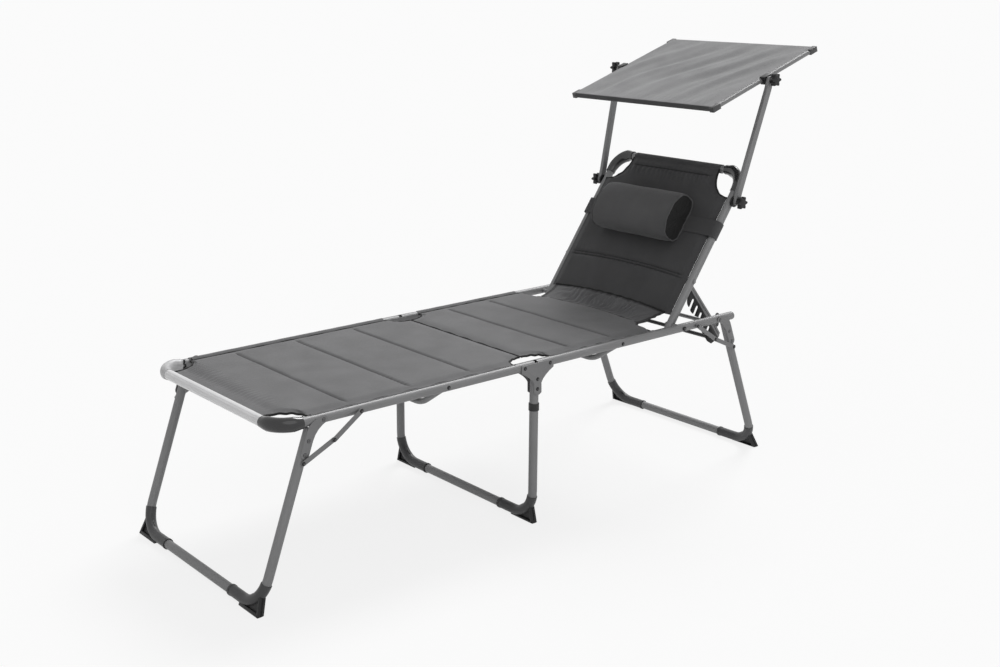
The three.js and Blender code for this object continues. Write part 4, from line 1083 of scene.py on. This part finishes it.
def seat_panel(name, start, stop, seams, start_cut, stop_cut=None):
    """A padded panel. With no cut-outs at its far end it narrows at the hips, and its last seam is bowed."""
    cuts = [(start, start_cut[0], 1)]
    if stop_cut:
        cuts.append((stop, stop_cut[0], -1))

    def point(x, v, top):
        half = seat_half_width(x, start, stop, start_cut, stop_cut)
        y = v * half
        tail = 0 if stop_cut else clamp((x - seams[1]) / (seams[-1] - seams[1]))
        bowed = x + tail * tail * tail_seam_bow * (y / tail_seam_half) ** 2
        swell, line = swell_at(bowed, v, half, start, stop, seams)
        if start_cut is corner_cut:
            swell *= end_step(x)
        if not top:
            return (x, y, panel_edge_z - (panel_skin + panel_belly * swell)), line
        wrinkle = puckers_at(x, y, seams, pucker_reach)
        if start_cut is corner_cut:
            wrinkle += end_puckers(x, y)
        soft = panel_unevenness * uneven(x * 9, y * 9, 2)
        rise = panel_skin + (panel_crown + soft) * swell + wrinkle * min(1, 4 * swell)
        return (x, y, panel_edge_z + rise), line

    return closed_panel(name, stations_between(start, stop, seams, cuts), sewn_rows(), point)


foot_panel = seat_panel("foot_panel", foot_start, foot_stop, foot_seams, corner_cut, fold_cut)
place_piece(foot_panel, "foot_section", seat_cloth, "seat_fabric", "foot_pad")
seat_panel_piece = seat_panel("seat_panel", seat_start, seat_stop, seat_seams, fold_cut)
place_piece(seat_panel_piece, "head_section", seat_cloth, "seat_fabric", "seat_pad")

# Bindings
# Black tape is folded round the cut-out edges and sewn down. It ripples a little where it turns.
binding_radius = 0.0031
binding_ripple = 0.0012
binding_ripple_step = 1.1
binding_steps = 22


def bound_edge(name, points, body, radius=binding_radius, finish=binding_cloth):
    """A soft round tape along an edge, rippling slightly."""
    curve = bpy.data.curves.new(name, "CURVE")
    curve.dimensions = "3D"
    curve.bevel_depth = radius
    curve.bevel_resolution = 3
    curve.use_fill_caps = True
    line = curve.splines.new("POLY")
    last = len(points) - 1
    line.points.add(last)
    for index, (target, place) in enumerate(zip(line.points, points)):
        ripple = binding_ripple * math.sin(index * binding_ripple_step) * math.sin(math.pi * index / last)
        target.co = (place[0], place[1], place[2] + ripple, 1)
    tape = bpy.data.objects.new(name, curve)
    scene.collection.objects.link(tape)
    only(tape)
    bpy.ops.object.convert(target="MESH")
    tape = bpy.context.object
    smooth(tape, angle=60)
    return place_piece(tape, body, finish, "seat_fabric")


turns = [math.pi / 2 * step / binding_steps for step in range(binding_steps + 1)]
for side_name, side in sides.items():
    for name, corner_x, toward, cut, body in (
        ("foot_corner_binding", foot_start, 1, corner_cut, "foot_section"),
        ("foot_fold_binding", foot_stop, -1, fold_cut, "foot_section"),
        ("seat_fold_binding", seat_start, 1, fold_cut, "head_section"),
    ):
        points = [
            (
                corner_x + toward * cut[0] * math.sin(turn),
                side * (panel_edge_y - cut[1] * math.cos(turn)),
                panel_edge_z,
            )
            for turn in turns
        ]
        bound_edge(f"{name}_{side_name}", points, body)
    hip_edge = [
        (
            hip_start + hip_length * (1 - math.cos(turn)),
            side * (panel_edge_y - (panel_edge_y - hip_half_width) * math.sin(turn)),
            panel_edge_z,
        )
        for turn in turns
    ]
    bound_edge("hip_binding_" + side_name, hip_edge, "head_section")

# A dark welt is sewn along both sides and along the fold, where the cloth turns under on to the frame.
welt_radius = 0.0019
thin_welt_radius = welt_radius * 0.6
welt_rise = 0.0012
welt_steps = 40
wrap_skin = 0.0014
wrap_steps = 60
wrap_turns = np.linspace(math.radians(84), math.radians(160), 14)


def rail_hem(name, near_x, far_x, side):
    """The hem of a panel, which lies over the top of the rail, a little uneven."""

    def point(x, turn, top):
        reach = tube_radius + (wrap_skin if top else wrap_skin / 4)
        reach += wrap_skin / 3 * uneven(x * 30, turn, 3)
        return (x, side * (rail_y + reach * math.cos(turn)), rail_z + reach * math.sin(turn)), 0

    return closed_panel(name, np.linspace(near_x, far_x, wrap_steps), wrap_turns, point)


for name, near_x, far_x, body in (
    ("foot_side", foot_start + corner_cut[0], foot_stop - fold_cut[0], "foot_section"),
    ("seat_side", seat_start + fold_cut[0], hip_start, "head_section"),
):
    for side_name, side in sides.items():
        points = [
            (x, side * (panel_edge_y + welt_radius / 2), panel_edge_z + welt_rise)
            for x in np.linspace(near_x, far_x, welt_steps)
        ]
        bound_edge(f"{name}_welt_{side_name}", points, body, thin_welt_radius)
        wrap = rail_hem(f"{name}_hem_{side_name}", near_x, far_x, side)
        place_piece(wrap, body, seat_cloth, "seat_fabric")
fold_half = panel_edge_y - fold_cut[1]
end_half = panel_edge_y - corner_cut[1]
for name, x, half, body in (
    ("foot_fold_welt", foot_stop, fold_half, "foot_section"),
    ("seat_fold_welt", seat_start, fold_half, "head_section"),
    ("foot_end_welt", foot_start, end_half, "foot_section"),
):
    points = [(x, y, panel_edge_z) for y in np.linspace(-half, half, welt_steps)]
    bound_edge(name, points, body, welt_radius)

# Two short loops of dark cord go round each rail where the side hem begins.
loop_steps = 14
loop_turn = 118
loop_sweep = 112
loop_waver = 0.003
loop_waver_step = 0.9
first_loop_gap = 0.010
second_loop_gap = 0.004
loop_places = (foot_end_x + foot_bend + first_loop_gap, foot_start + corner_cut[0] + second_loop_gap)
loop_reach = tube_radius + thin_welt_radius
for side_name, side in sides.items():
    for index, loop_x in enumerate(loop_places):
        points = []
        for step in range(loop_steps):
            turn = math.radians(loop_turn + loop_sweep * step / (loop_steps - 1))
            points.append((
                loop_x + loop_waver * math.sin(step * loop_waver_step),
                side * (rail_y + loop_reach * math.cos(turn)),
                rail_z + loop_reach * math.sin(turn),
            ))
        bound_edge(f"rail_cord_{index}_{side_name}", points, "foot_section", welt_radius)

# Backrest tube
# One tube bent into a loop, pivoted between the head rails. Its two top corners carry taller dark elbows,
# whose dark paint is partly painted shade.
backrest_angle = math.radians(54.2)
backrest_up = Vector((math.cos(backrest_angle), 0, math.sin(backrest_angle)))
backrest_out = Vector((-math.sin(backrest_angle), 0, math.cos(backrest_angle)))
backrest_half = 0.274
backrest_length = 0.530
backrest_tail = 0.018
backrest_bend = 0.060
backrest_corner_height = 1.15
backrest_elbow_share = 1.12


def on_backrest(t, y, n):
    """A point by its distance up the backrest, across it and out of its front."""
    return recline + backrest_up * t + Vector((0, y, 0)) + backrest_out * n


backrest_loop = tube_along(
    "backrest_loop",
    [
        on_backrest(-backrest_tail, backrest_half, 0),
        on_backrest(backrest_length, backrest_half, 0),
        on_backrest(backrest_length, -backrest_half, 0),
        on_backrest(-backrest_tail, -backrest_half, 0),
    ],
    backrest_bend, tube_radius, tube_wall, bend_height=backrest_corner_height,
)
place_piece(backrest_loop, "backrest", silver_paint, "frame_steel", "backrest_tube")
for side_name, side in sides.items():
    elbow = corner_elbow(
        "backrest_corner_elbow_" + side_name,
        on_backrest(0, side * backrest_half, 0),
        on_backrest(backrest_length, side * backrest_half, 0),
        on_backrest(backrest_length, 0, 0),
        backrest_bend, backrest_corner_height * backrest_elbow_share, stub=0.010,
    )
    place_piece(elbow, "backrest", shaded_elbow_paint, "frame_steel")

# Backrest panel
# Darker looking padded cloth with a sewn channel, and a hem sleeve that runs round the top tube. Its colour
# is made darker than the seat's as painted shade, since the backrest faces away from the key light.
shaded_back_colour = (0.068, 0.068, 0.070, 1)
shaded_back_cloth = woven("shaded_back_cloth", shaded_back_colour, sheen=0.10)
back_start = 0.027
back_stop = 0.522
back_half = 0.266
back_offset = 0.0112
back_seams = [0.158, 0.167, 0.496]
back_seam_bow = 0.012
back_bow_gain = 1.6
back_cut = (0.090, 0.079)
back_crown = 0.0062
back_belly = 0.0022
back_unevenness = 0.0018
back_pucker_reach = 0.018
hem_pucker_height = 0.0012
hem_pucker_pitch = 0.019
hem_pucker_inset = 0.012
hem_pucker_reach = 0.016
hem_pucker_slant = 8
hem_radius = tube_radius + 0.0014
hem_wall = 0.0011


def back_point(t, v, top):
    half = back_half - elliptic_bite(back_stop - t, back_cut)
    y = v * half
    low = max(1 - (t - back_start) / (back_seams[-1] - back_start), 0)
    bowed = t + min(1, back_bow_gain * low) * back_seam_bow * (y / back_half) ** 2
    swell, line = swell_at(bowed, v, half, back_start, back_stop, back_seams)
    if not top:
        return tuple(on_backrest(t, y, back_offset - panel_skin - back_belly * swell)), line
    wrinkle = puckers_at(t, y, back_seams[:2], back_pucker_reach)
    drift = uneven(t * 6, y * 8, 12)
    gather = bell(back_seams[-1] - hem_pucker_inset - t, hem_pucker_reach)
    wrinkle += hem_pucker_height * gather * wave(y / hem_pucker_pitch + drift - hem_pucker_slant * t)
    soft = back_unevenness * uneven(t * 8, y * 8, 7)
    height = back_offset + panel_skin + (back_crown + soft) * swell + wrinkle * min(1, 4 * swell)
    return tuple(on_backrest(t, y, height)), line


back_stations = stations_between(back_start, back_stop, back_seams, [(back_stop, back_cut[0], -1)])
back_panel = closed_panel("backrest_panel", back_stations, sewn_rows(), back_point)
place_piece(back_panel, "backrest", shaded_back_cloth, "back_fabric", "backrest_pad")

hem_half = back_half - back_cut[1]
hem = tube_along(
    "backrest_hem",
    [on_backrest(backrest_length, -hem_half, 0), on_backrest(backrest_length, hem_half, 0)],
    0, hem_radius, hem_wall,
)
place_piece(hem, "backrest", shaded_back_cloth, "back_fabric")
for side_name, side in sides.items():
    points = [
        tuple(on_backrest(
            back_stop - back_cut[0] * math.sin(turn),
            side * (back_half - back_cut[1] * math.cos(turn)),
            back_offset,
        ))
        for turn in turns
    ]
    bound_edge("backrest_corner_binding_" + side_name, points, "backrest")

# Gathered strip
# Thin cloth joins the seat panel to the foot of the backrest.
# It is gathered, so that the backrest can lie flat.
strip_start = foot_end_x + 1.316
strip_start_bow = 0.020
strip_start_rise = 0.0026
strip_half_start = 0.2225
strip_half_stop = 0.247
strip_edge_waver = 0.0035
strip_low_t = 0.030
strip_high_t = 0.043
strip_low_lift = 0.0015
strip_high_lift = 0.0042
strip_lift_length = 0.012
strip_rows = 190
strip_steps = 34
strip_skin = 0.0008
strip_fold_height = 0.0034
strip_folds = 6.5
strip_fold_waver = 1.3
strip_fold_slant = 1.1
strip_fine_folds = 17
strip_fine_waver = 2
strip_fine_slant = 0.8
strip_fine_share = 0.45
strip_rise_power = 1.5
strip_end_power = 0.7
strip_flat_edge = 0.9
strip_flat_power = 2.5
strip_frayed_edge = 0.94
strip_frayed_width = 0.01
# Where and how strongly the strip is darkened near its two ends, as painted shade.
strip_near_tuck = 0.045
strip_far_tuck = 0.89
strip_tuck_width = 0.03
strip_tuck_painted_shade = 0.8
strip_colour = (0.120, 0.120, 0.123, 1)
strip_cloth = woven("strip_cloth", strip_colour, sheen=0.12)
strip_drift_along = 1.5


def strip_point(u, v, top):
    half = strip_half_start + (strip_half_stop - strip_half_start) * u
    half += strip_edge_waver * uneven(u * 9, 2 if v > 0 else 8, 1)
    y = v * half
    bow = 1 - v * v
    start = Vector((strip_start - strip_start_bow * (1 - bow), y, panel_edge_z + strip_start_rise))
    t = strip_low_t + (strip_high_t - strip_low_t) * bow
    lift = strip_low_lift + strip_high_lift * clamp((t - back_start) / strip_lift_length)
    stop = on_backrest(t, y, back_offset + lift)
    x = start.x + (stop.x - start.x) * u
    drift = uneven(u * strip_drift_along, v * 4, 3)
    folds = wave(v * strip_folds + strip_fold_waver * drift + strip_fold_slant * u)
    folds += strip_fine_share * wave(v * strip_fine_folds + strip_fine_waver * drift + strip_fine_slant * u)
    rise = start.z + (stop.z - start.z) * u ** strip_rise_power
    across = 1 - min(1, abs(v) / strip_flat_edge) ** strip_flat_power
    height = rise + strip_fold_height * folds * (math.sin(math.pi * u) ** strip_end_power * across)
    # Near both ends, at the seat seam and under the backrest pad's edge, the seam mark darkens the strip:
    # painted shade. The frayed long edges are the cloth's own dark edge.
    frayed = clamp((abs(v) - strip_frayed_edge) / strip_frayed_width)
    tuck_painted_shade = clamp((u - strip_far_tuck) / strip_tuck_width) + clamp((strip_near_tuck - u) / strip_tuck_width)
    sewn = max(frayed, strip_tuck_painted_shade * min(tuck_painted_shade, 1))
    return (x, y, height + (strip_skin if top else -strip_skin)), sewn


strip_grid = (np.linspace(0, 1, strip_steps), np.linspace(-1, 1, strip_rows))
strip = closed_panel("gathered_strip", *strip_grid, strip_point)
strip.data.materials.append(strip_cloth)
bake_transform(strip)

# A dark cord lies along the curved line where the strip is sewn to the backrest panel. It is painted shadow:
# a dark piece that stands for the shadow under the pad's bottom edge.
tuck_steps = 61
tuck_lift = 0.0060
tuck_radius = 0.0030
tuck_places = []
for v in np.linspace(-1, 1, tuck_steps):
    tuck_t = strip_low_t + (strip_high_t - strip_low_t) * (1 - v * v)
    tuck_places.append(tuple(on_backrest(tuck_t, v * strip_half_stop, back_offset + tuck_lift)))
bound_edge("strip_tuck_shadow_cord", tuck_places, "backrest", tuck_radius)

# Support stay
# Two notched plates of black plastic with a steel ridge are joined by a rod.
# They hold the backrest up on the rest bar.
stay_piece = dressed_copy("support_stay", plate_bevel, plate_paint, "plate_steel")
stay_angle = math.radians(53.1)
stay_pin_t = 0.150
stay_pin = on_backrest(stay_pin_t, 0, 0)
stay_ridge = Vector((math.sin(stay_angle), 0, math.cos(stay_angle)))
stay_split = -0.005
stay_colour = (0.014, 0.014, 0.015, 1)
black_grain = 600
stay_plastic = grained("stay_plastic", stay_colour, roughness=0.42, scale=black_grain, depth=0.25)
only(stay_piece)
bpy.ops.object.mode_set(mode="EDIT")
bpy.ops.mesh.select_all(action="SELECT")
bpy.ops.mesh.bisect(plane_co=stay_pin + stay_ridge * stay_split, plane_no=stay_ridge)
bpy.ops.object.mode_set(mode="OBJECT")
stay_piece.data.materials.append(stay_plastic)
for face in stay_piece.data.polygons:
    face.material_index = 1 if (face.center - stay_pin).dot(stay_ridge) < stay_split else 0

# Bolster pillow
# A stuffed roll with crumpled ends and a piping round each, which lies against the backrest.
pillow_t = 0.322
pillow_half_length = 0.163
pillow_half_height = 0.078
pillow_half_depth = 0.045
pillow_seat = 0.0215
pillow_flat_share = 0.86
pillow_ring = 144
pillow_steps = 15
pillow_square_back = 3.4
pillow_square_front = 2.15
pillow_unevenness = 0.012
pillow_end_bulge = 0.0055
pillow_end_crumple = 0.0042
pillow_end_margin = 0.0005
pillow_ruffle_share = 0.3
pillow_crumple_share = 0.7
pillow_gathers = 15
pillow_gather_depth = 0.030
pillow_gather_reach = 0.020
pillow_gather_least = 0.6
pillow_gather_change = 0.8
piping_radius = 0.0021
piping_girth = 0.945
piping_waver = 0.0012
piping_steps = 96
pillow_colour = (0.098, 0.098, 0.100, 1)
# The end caps' near-black colour is partly their own dark cloth and partly painted shade.
pillow_end_colour_and_shade = (0.012, 0.012, 0.012, 1)
# Rings from the middle of an end cap out to its seam, and from there along the roll: distance in, and girth.
cap_rings = [
    (-1, 0.03), (-1, 0.12), (-0.98, 0.25), (-0.93, 0.40), (-0.84, 0.55),
    (-0.70, 0.69), (-0.45, 0.80), (-0.2, 0.88), (-0.05, 0.925),
]
roll_rings = [(0.000, 0.938), (0.0025, 0.958), (0.006, 0.975), (0.011, 0.986), (0.018, 0.993), (0.028, 0.998)]


def pillow_girth_point(y, girth, turn, fold_depth):
    """A point of the roll's skin: round at the front, and squarer and flat where it lies on the backrest."""
    cosine, sine = math.cos(turn), math.sin(turn)
    power = pillow_square_front if sine > 0 else pillow_square_back
    radius = (abs(cosine) ** power + abs(sine) ** power) ** (-1 / power)
    radius *= 1 - fold_depth + pillow_unevenness * uneven(cosine, sine, y * 14)
    t = pillow_t + pillow_half_height * girth * radius * cosine
    depth = max(pillow_half_depth * girth * radius * sine, -pillow_half_depth * pillow_flat_share)
    return on_backrest(t, y, pillow_seat + pillow_half_depth * pillow_flat_share + depth)


def end_rings(side):
    """The rings of one end, from the middle of its cap: place across, girth, and whether on the cap."""
    rings = []
    for inward, girth in cap_rings:
        rings.append((side * (pillow_half_length - pillow_end_bulge * inward), girth, True))
    for inward, girth in roll_rings:
        rings.append((side * (pillow_half_length - inward), girth, False))
    return rings


pillow_rings = end_rings(-1)
for step in range(1, 2 * pillow_steps):
    pillow_rings.append(((pillow_half_length - roll_rings[-1][0]) * (step / pillow_steps - 1), 1, False))
pillow_rings.extend(reversed(end_rings(1)))
pillow_points = []
for y, girth, capped in pillow_rings:
    inward = max(pillow_half_length - abs(y), 0)
    for step in range(pillow_ring):
        turn = 2 * math.pi * step / pillow_ring
        cosine, sine = math.cos(turn), math.sin(turn)
        wander = uneven(cosine * 2, sine * 2, 3 if y > 0 else 6)
        ruffle = 0.5 + 0.5 * math.sin(pillow_gathers * turn + 5 * wander)
        if capped:
            crumple = 0.5 + uneven(cosine * 5, sine * 5, 4 * girth)
            folds = pillow_ruffle_share * ruffle + pillow_crumple_share * crumple
            sink = 4 * girth * (1 - girth) * folds * pillow_end_crumple
            point = pillow_girth_point(y - math.copysign(sink, y), girth, turn, 0)
        else:
            gather = bell(inward, pillow_gather_reach) * (pillow_gather_least + pillow_gather_change * wander)
            point = pillow_girth_point(y, girth, turn, pillow_gather_depth * gather * ruffle)
        pillow_points.append(tuple(point))
pillow_last = (len(pillow_rings) - 1) * pillow_ring
pillow_faces = []
for ring in range(0, pillow_last, pillow_ring):
    for j in range(pillow_ring):
        a = ring + j
        b = ring + (j + 1) % pillow_ring
        pillow_faces.append((a, b, b + pillow_ring, a + pillow_ring))
pillow_faces.append(tuple(range(pillow_ring)))
pillow_faces.append(tuple(pillow_last + j for j in reversed(range(pillow_ring))))
bolster = skin_of("bolster_pillow", pillow_points, pillow_faces, angle=70)
pillow_cloth = woven("pillow_cloth", pillow_colour, sheen=0.15)
pillow_end_cloth_and_shade = woven("pillow_end_cloth_and_shade", pillow_end_colour_and_shade, sheen=0.02)
place_piece(bolster, "headrest", pillow_cloth, "back_fabric", "pillow")
# The end caps take the near-black cloth, which is partly painted shade.
bolster.data.materials.append(pillow_end_cloth_and_shade)
for face in bolster.data.polygons:
    face.material_index = 1 if abs(face.center.y) > pillow_half_length - pillow_end_margin else 0
for side_name, side in sides.items():
    points = []
    for step in range(piping_steps + 1):
        turn = 2 * math.pi * step / piping_steps
        y = side * (pillow_half_length + piping_waver * math.sin(9 * turn))
        points.append(tuple(pillow_girth_point(y, piping_girth, turn, 0)))
    bound_edge("pillow_piping_" + side_name, points, "headrest", piping_radius, pillow_cloth)

# Elastic strap
# A band of elastic webbing is sewn to the back of the pillow and stretched round the backrest's two tubes.
strap_low_t = 0.297
strap_width = 0.053
strap_skin = 0.0015
strap_half = 0.2895
strap_front = 0.0208
strap_back = 0.0152
strap_corner = 0.015
strap_columns = 7
strap_corner_steps = 8
strap_colour = (0.072, 0.072, 0.074, 1)
strap_loop = []
for corner_y, corner_n, quarter in (
    (strap_half - strap_corner, strap_front - strap_corner, 0),
    (strap_corner - strap_half, strap_front - strap_corner, 1),
    (strap_corner - strap_half, strap_corner - strap_back, 2),
    (strap_half - strap_corner, strap_corner - strap_back, 3),
):
    for step in range(strap_corner_steps + 1):
        turn = (quarter + step / strap_corner_steps) * math.pi / 2
        strap_loop.append((corner_y, corner_n, math.cos(turn), math.sin(turn)))
strap_points = []
for radius in (strap_corner, strap_corner - strap_skin):
    for column in range(strap_columns):
        t = strap_low_t + strap_width * column / (strap_columns - 1)
        for corner_y, corner_n, cosine, sine in strap_loop:
            strap_points.append(tuple(on_backrest(t, corner_y + radius * cosine, corner_n + radius * sine)))
strap_count = len(strap_loop)
strap_layer = strap_columns * strap_count
strap_far = strap_layer - strap_count
strap_faces = []
for j in range(strap_count):
    k = (j + 1) % strap_count
    for column in range(0, strap_far, strap_count):
        outer = (column + j, column + k, column + k + strap_count, column + j + strap_count)
        strap_faces.append(outer)
        strap_faces.append(tuple(strap_layer + outer[corner] for corner in (0, 3, 2, 1)))
    strap_faces.append((j, strap_layer + j, strap_layer + k, k))
    far_j, far_k = strap_far + j, strap_far + k
    strap_faces.append((far_j, far_k, strap_layer + far_k, strap_layer + far_j))
strap_piece = skin_of("elastic_strap", strap_points, strap_faces, angle=50)
strap_cloth = woven("elastic_webbing", strap_colour, sheen=0.1, threads=420, depth=0.6)
place_piece(strap_piece, "headrest", strap_cloth, "back_fabric", "pillow_strap")

# Canopy arms and clamps
# A flat steel arm stands on each side of the backrest, clamped between a plastic disc and a star knob.
black_colour = (0.016, 0.016, 0.017, 1)
black_plastic = grained("black_plastic", black_colour, roughness=0.38, scale=black_grain, depth=0.25)
arm_bevel = 0.0016
clamp_bevel = 0.0008
block_bevel = 0.0010
for side_name in sides:
    dressed_copy("canopy_arm_" + side_name, arm_bevel, silver_paint, "frame_steel")
    dressed_copy("canopy_clamp_" + side_name, clamp_bevel, black_plastic, "black_plastic")
    dressed_copy("canopy_pivot_" + side_name, block_bevel, black_plastic, "black_plastic")

# Star knobs
# Moulded knobs with six lobes and a short hub clamp the four pivots of the arms.
knob_radius = 0.0165
knob_lobe = 0.0036
knob_lobes = 6
knob_points = 96
knob_bevel = 0.0018
knob_hub_share = 0.3
knob_hub_run = 1.2
knob_hub_radius = 0.64 * knob_radius
for node in ("arm_knob_left", "arm_knob_right", "canopy_knob_left", "canopy_knob_right"):
    knob_low, knob_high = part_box(node)
    side = 1 if knob_low.y > 0 else -1
    middle = (knob_low + knob_high) / 2
    near = min(abs(knob_low.y), abs(knob_high.y))
    depth = knob_high.y - knob_low.y
    hub_depth = depth * knob_hub_share
    outline = []
    for step in range(knob_points):
        turn = 2 * math.pi * step / knob_points
        radius = knob_radius + knob_lobe * math.cos(knob_lobes * turn)
        outline.append(Vector((
            middle.x + radius * math.cos(turn),
            side * (near + (depth + hub_depth) / 2),
            middle.z + radius * math.sin(turn),
        )))
    star = thick_plate("star", outline, Vector((0, depth - hub_depth, 0)), knob_bevel)
    hub_ends = [Vector((middle.x, side * y, middle.z)) for y in (near, near + hub_depth * knob_hub_run)]
    hub = tube_along("hub", hub_ends, 0, knob_hub_radius, 0)
    knob = joined(node + "_star", hub, star)
    place_piece(knob, frame["nodes"][node]["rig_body"], black_plastic, "black_plastic", node)

# Canopy frame
# Two light tubes and two cross bars with moulded corner caps carry the canopy's cloth.
canopy_bar_colour = (0.085, 0.085, 0.087, 1)
bar_paint = grained(
    "canopy_bar_paint", canopy_bar_colour, roughness=0.4, scale=400, depth=0.15, metallic=0.2
)
side_tube_colour = (0.24, 0.24, 0.243, 1)
side_tube_paint = grained(
    "light_tube_paint", side_tube_colour, roughness=0.45, scale=steel_grain, depth=0.08, metallic=0.2
)
canopy_pivot_place = joint_place["canopy_tilt"]
canopy_angle = math.radians(18.35)
canopy_back = Vector((math.cos(canopy_angle), 0, math.sin(canopy_angle)))
canopy_top = Vector((-math.sin(canopy_angle), 0, math.cos(canopy_angle)))
canopy_depth = 0.475
canopy_front_share = 0.49
canopy_front_x = -canopy_depth * canopy_front_share
canopy_back_x = canopy_front_x + canopy_depth
canopy_half = 0.2988
canopy_tube_radius = 0.007
canopy_tube_wall = 0.001
canopy_inset = 0.0043
canopy_bar_bevel = 0.0012


def on_canopy(x, y, n):
    """A point by its distance back from the arm pivots, across the canopy and above it."""
    return canopy_pivot_place + canopy_back * x + Vector((0, y, 0)) + canopy_top * n


for side_name, side in sides.items():
    side_tube = tube_along(
        "canopy_light_tube_" + side_name,
        [
            on_canopy(canopy_front_x + canopy_inset, side * canopy_half, 0),
            on_canopy(canopy_back_x - canopy_inset, side * canopy_half, 0),
        ],
        0, canopy_tube_radius, canopy_tube_wall,
    )
    place_piece(side_tube, "canopy", side_tube_paint, "frame_steel", "canopy_side_tube_" + side_name)
for node in ("canopy_front_bar", "canopy_back_bar"):
    dressed_copy(node, canopy_bar_bevel, bar_paint, "canopy_bar")

# Canopy cloth
# One sheet is sewn into a sleeve round each cross bar.
# It hangs a little slack, with soft ripples front to back. The turn of its sleeve under the front bar is
# darkened as painted shade.
canopy_colour = (0.29, 0.29, 0.295, 1)
canopy_cloth_finish = woven("canopy_cloth", canopy_colour, sheen=0.15, threads=300, depth=0.3)
cloth_half = 0.2976
cloth_skin = 0.0005
cloth_clearance = 0.0012
cloth_radius = canopy_tube_radius + cloth_clearance
cloth_sag = 0.0022
ripple_height = 0.0046
ripple_count = 4
ripple_slant = 0.65
ripple_stretch = 1.6
ripple_waver = 2.8
fine_ripple_share = 0.3
fine_ripple_rate = 2.3
fine_ripple_waver = 4
hem_gather_height = 0.0011
hem_gather_pitch = 0.024
hem_gather_place = 0.05
hem_gather_reach = 0.035
cloth_rows = 150
cloth_steps = 100
sleeve_steps = 18
sleeve_start = math.pi * 1.42
sleeve_sweep = math.pi * 0.92
shaded_fold_turn = math.radians(112)

# The cloth's path runs from under the front bar, over the top, to under the back bar.
# Each stop holds its place back, its outward way and, on the open cloth, its share of the way.
cloth_path = []
for step in range(sleeve_steps):
    cloth_path.append((canopy_front_x, sleeve_start - sleeve_sweep * step / (sleeve_steps - 1), None))
for step in range(1, cloth_steps):
    cloth_path.append((canopy_front_x + canopy_depth * step / cloth_steps, math.pi / 2, step / cloth_steps))
for step in range(sleeve_steps):
    cloth_path.append((canopy_back_x, math.pi / 2 - sleeve_sweep * step / (sleeve_steps - 1), None))


def canopy_point(index, v, top):
    x, turn, share = cloth_path[index]
    y = v * cloth_half
    reach = cloth_radius + (cloth_skin if top else -cloth_skin)
    lift = 0
    if share is not None:
        phase = ripple_count * math.pi * (v + ripple_slant * share)
        drift = uneven(share * ripple_stretch, v * 2, 9)
        ends = (1 - abs(v) ** 8) * math.sin(math.pi * share) ** 0.5
        fine = fine_ripple_share * math.sin(fine_ripple_rate * phase + fine_ripple_waver * drift)
        lift = ripple_height * ends * (math.sin(phase + ripple_waver * drift) + fine)
        lift -= cloth_sag * math.sin(math.pi * share) * (1 - abs(v) ** 4)
        gather = bell(share - hem_gather_place, hem_gather_reach) * (0.5 + uneven(y * 8, 0, 2))
        lift += hem_gather_height * gather * math.sin(2 * math.pi * y / hem_gather_pitch + 5 * drift)
    place = on_canopy(x + reach * math.cos(turn), y, reach * math.sin(turn) + lift)
    # Painted shade: the sleeve's turn under the front bar faces down, away from the key light, and is
    # darkened through the seam mark.
    shaded_front_fold = x == canopy_front_x and share is None and turn > shaded_fold_turn
    return tuple(place), 1 if shaded_front_fold else 0


cloth_across = np.linspace(-1, 1, cloth_rows)
canopy_sheet = closed_panel("canopy_cloth_sheet", range(len(cloth_path)), cloth_across, canopy_point)
place_piece(canopy_sheet, "canopy", canopy_cloth_finish, "canopy_fabric", "canopy_fabric")
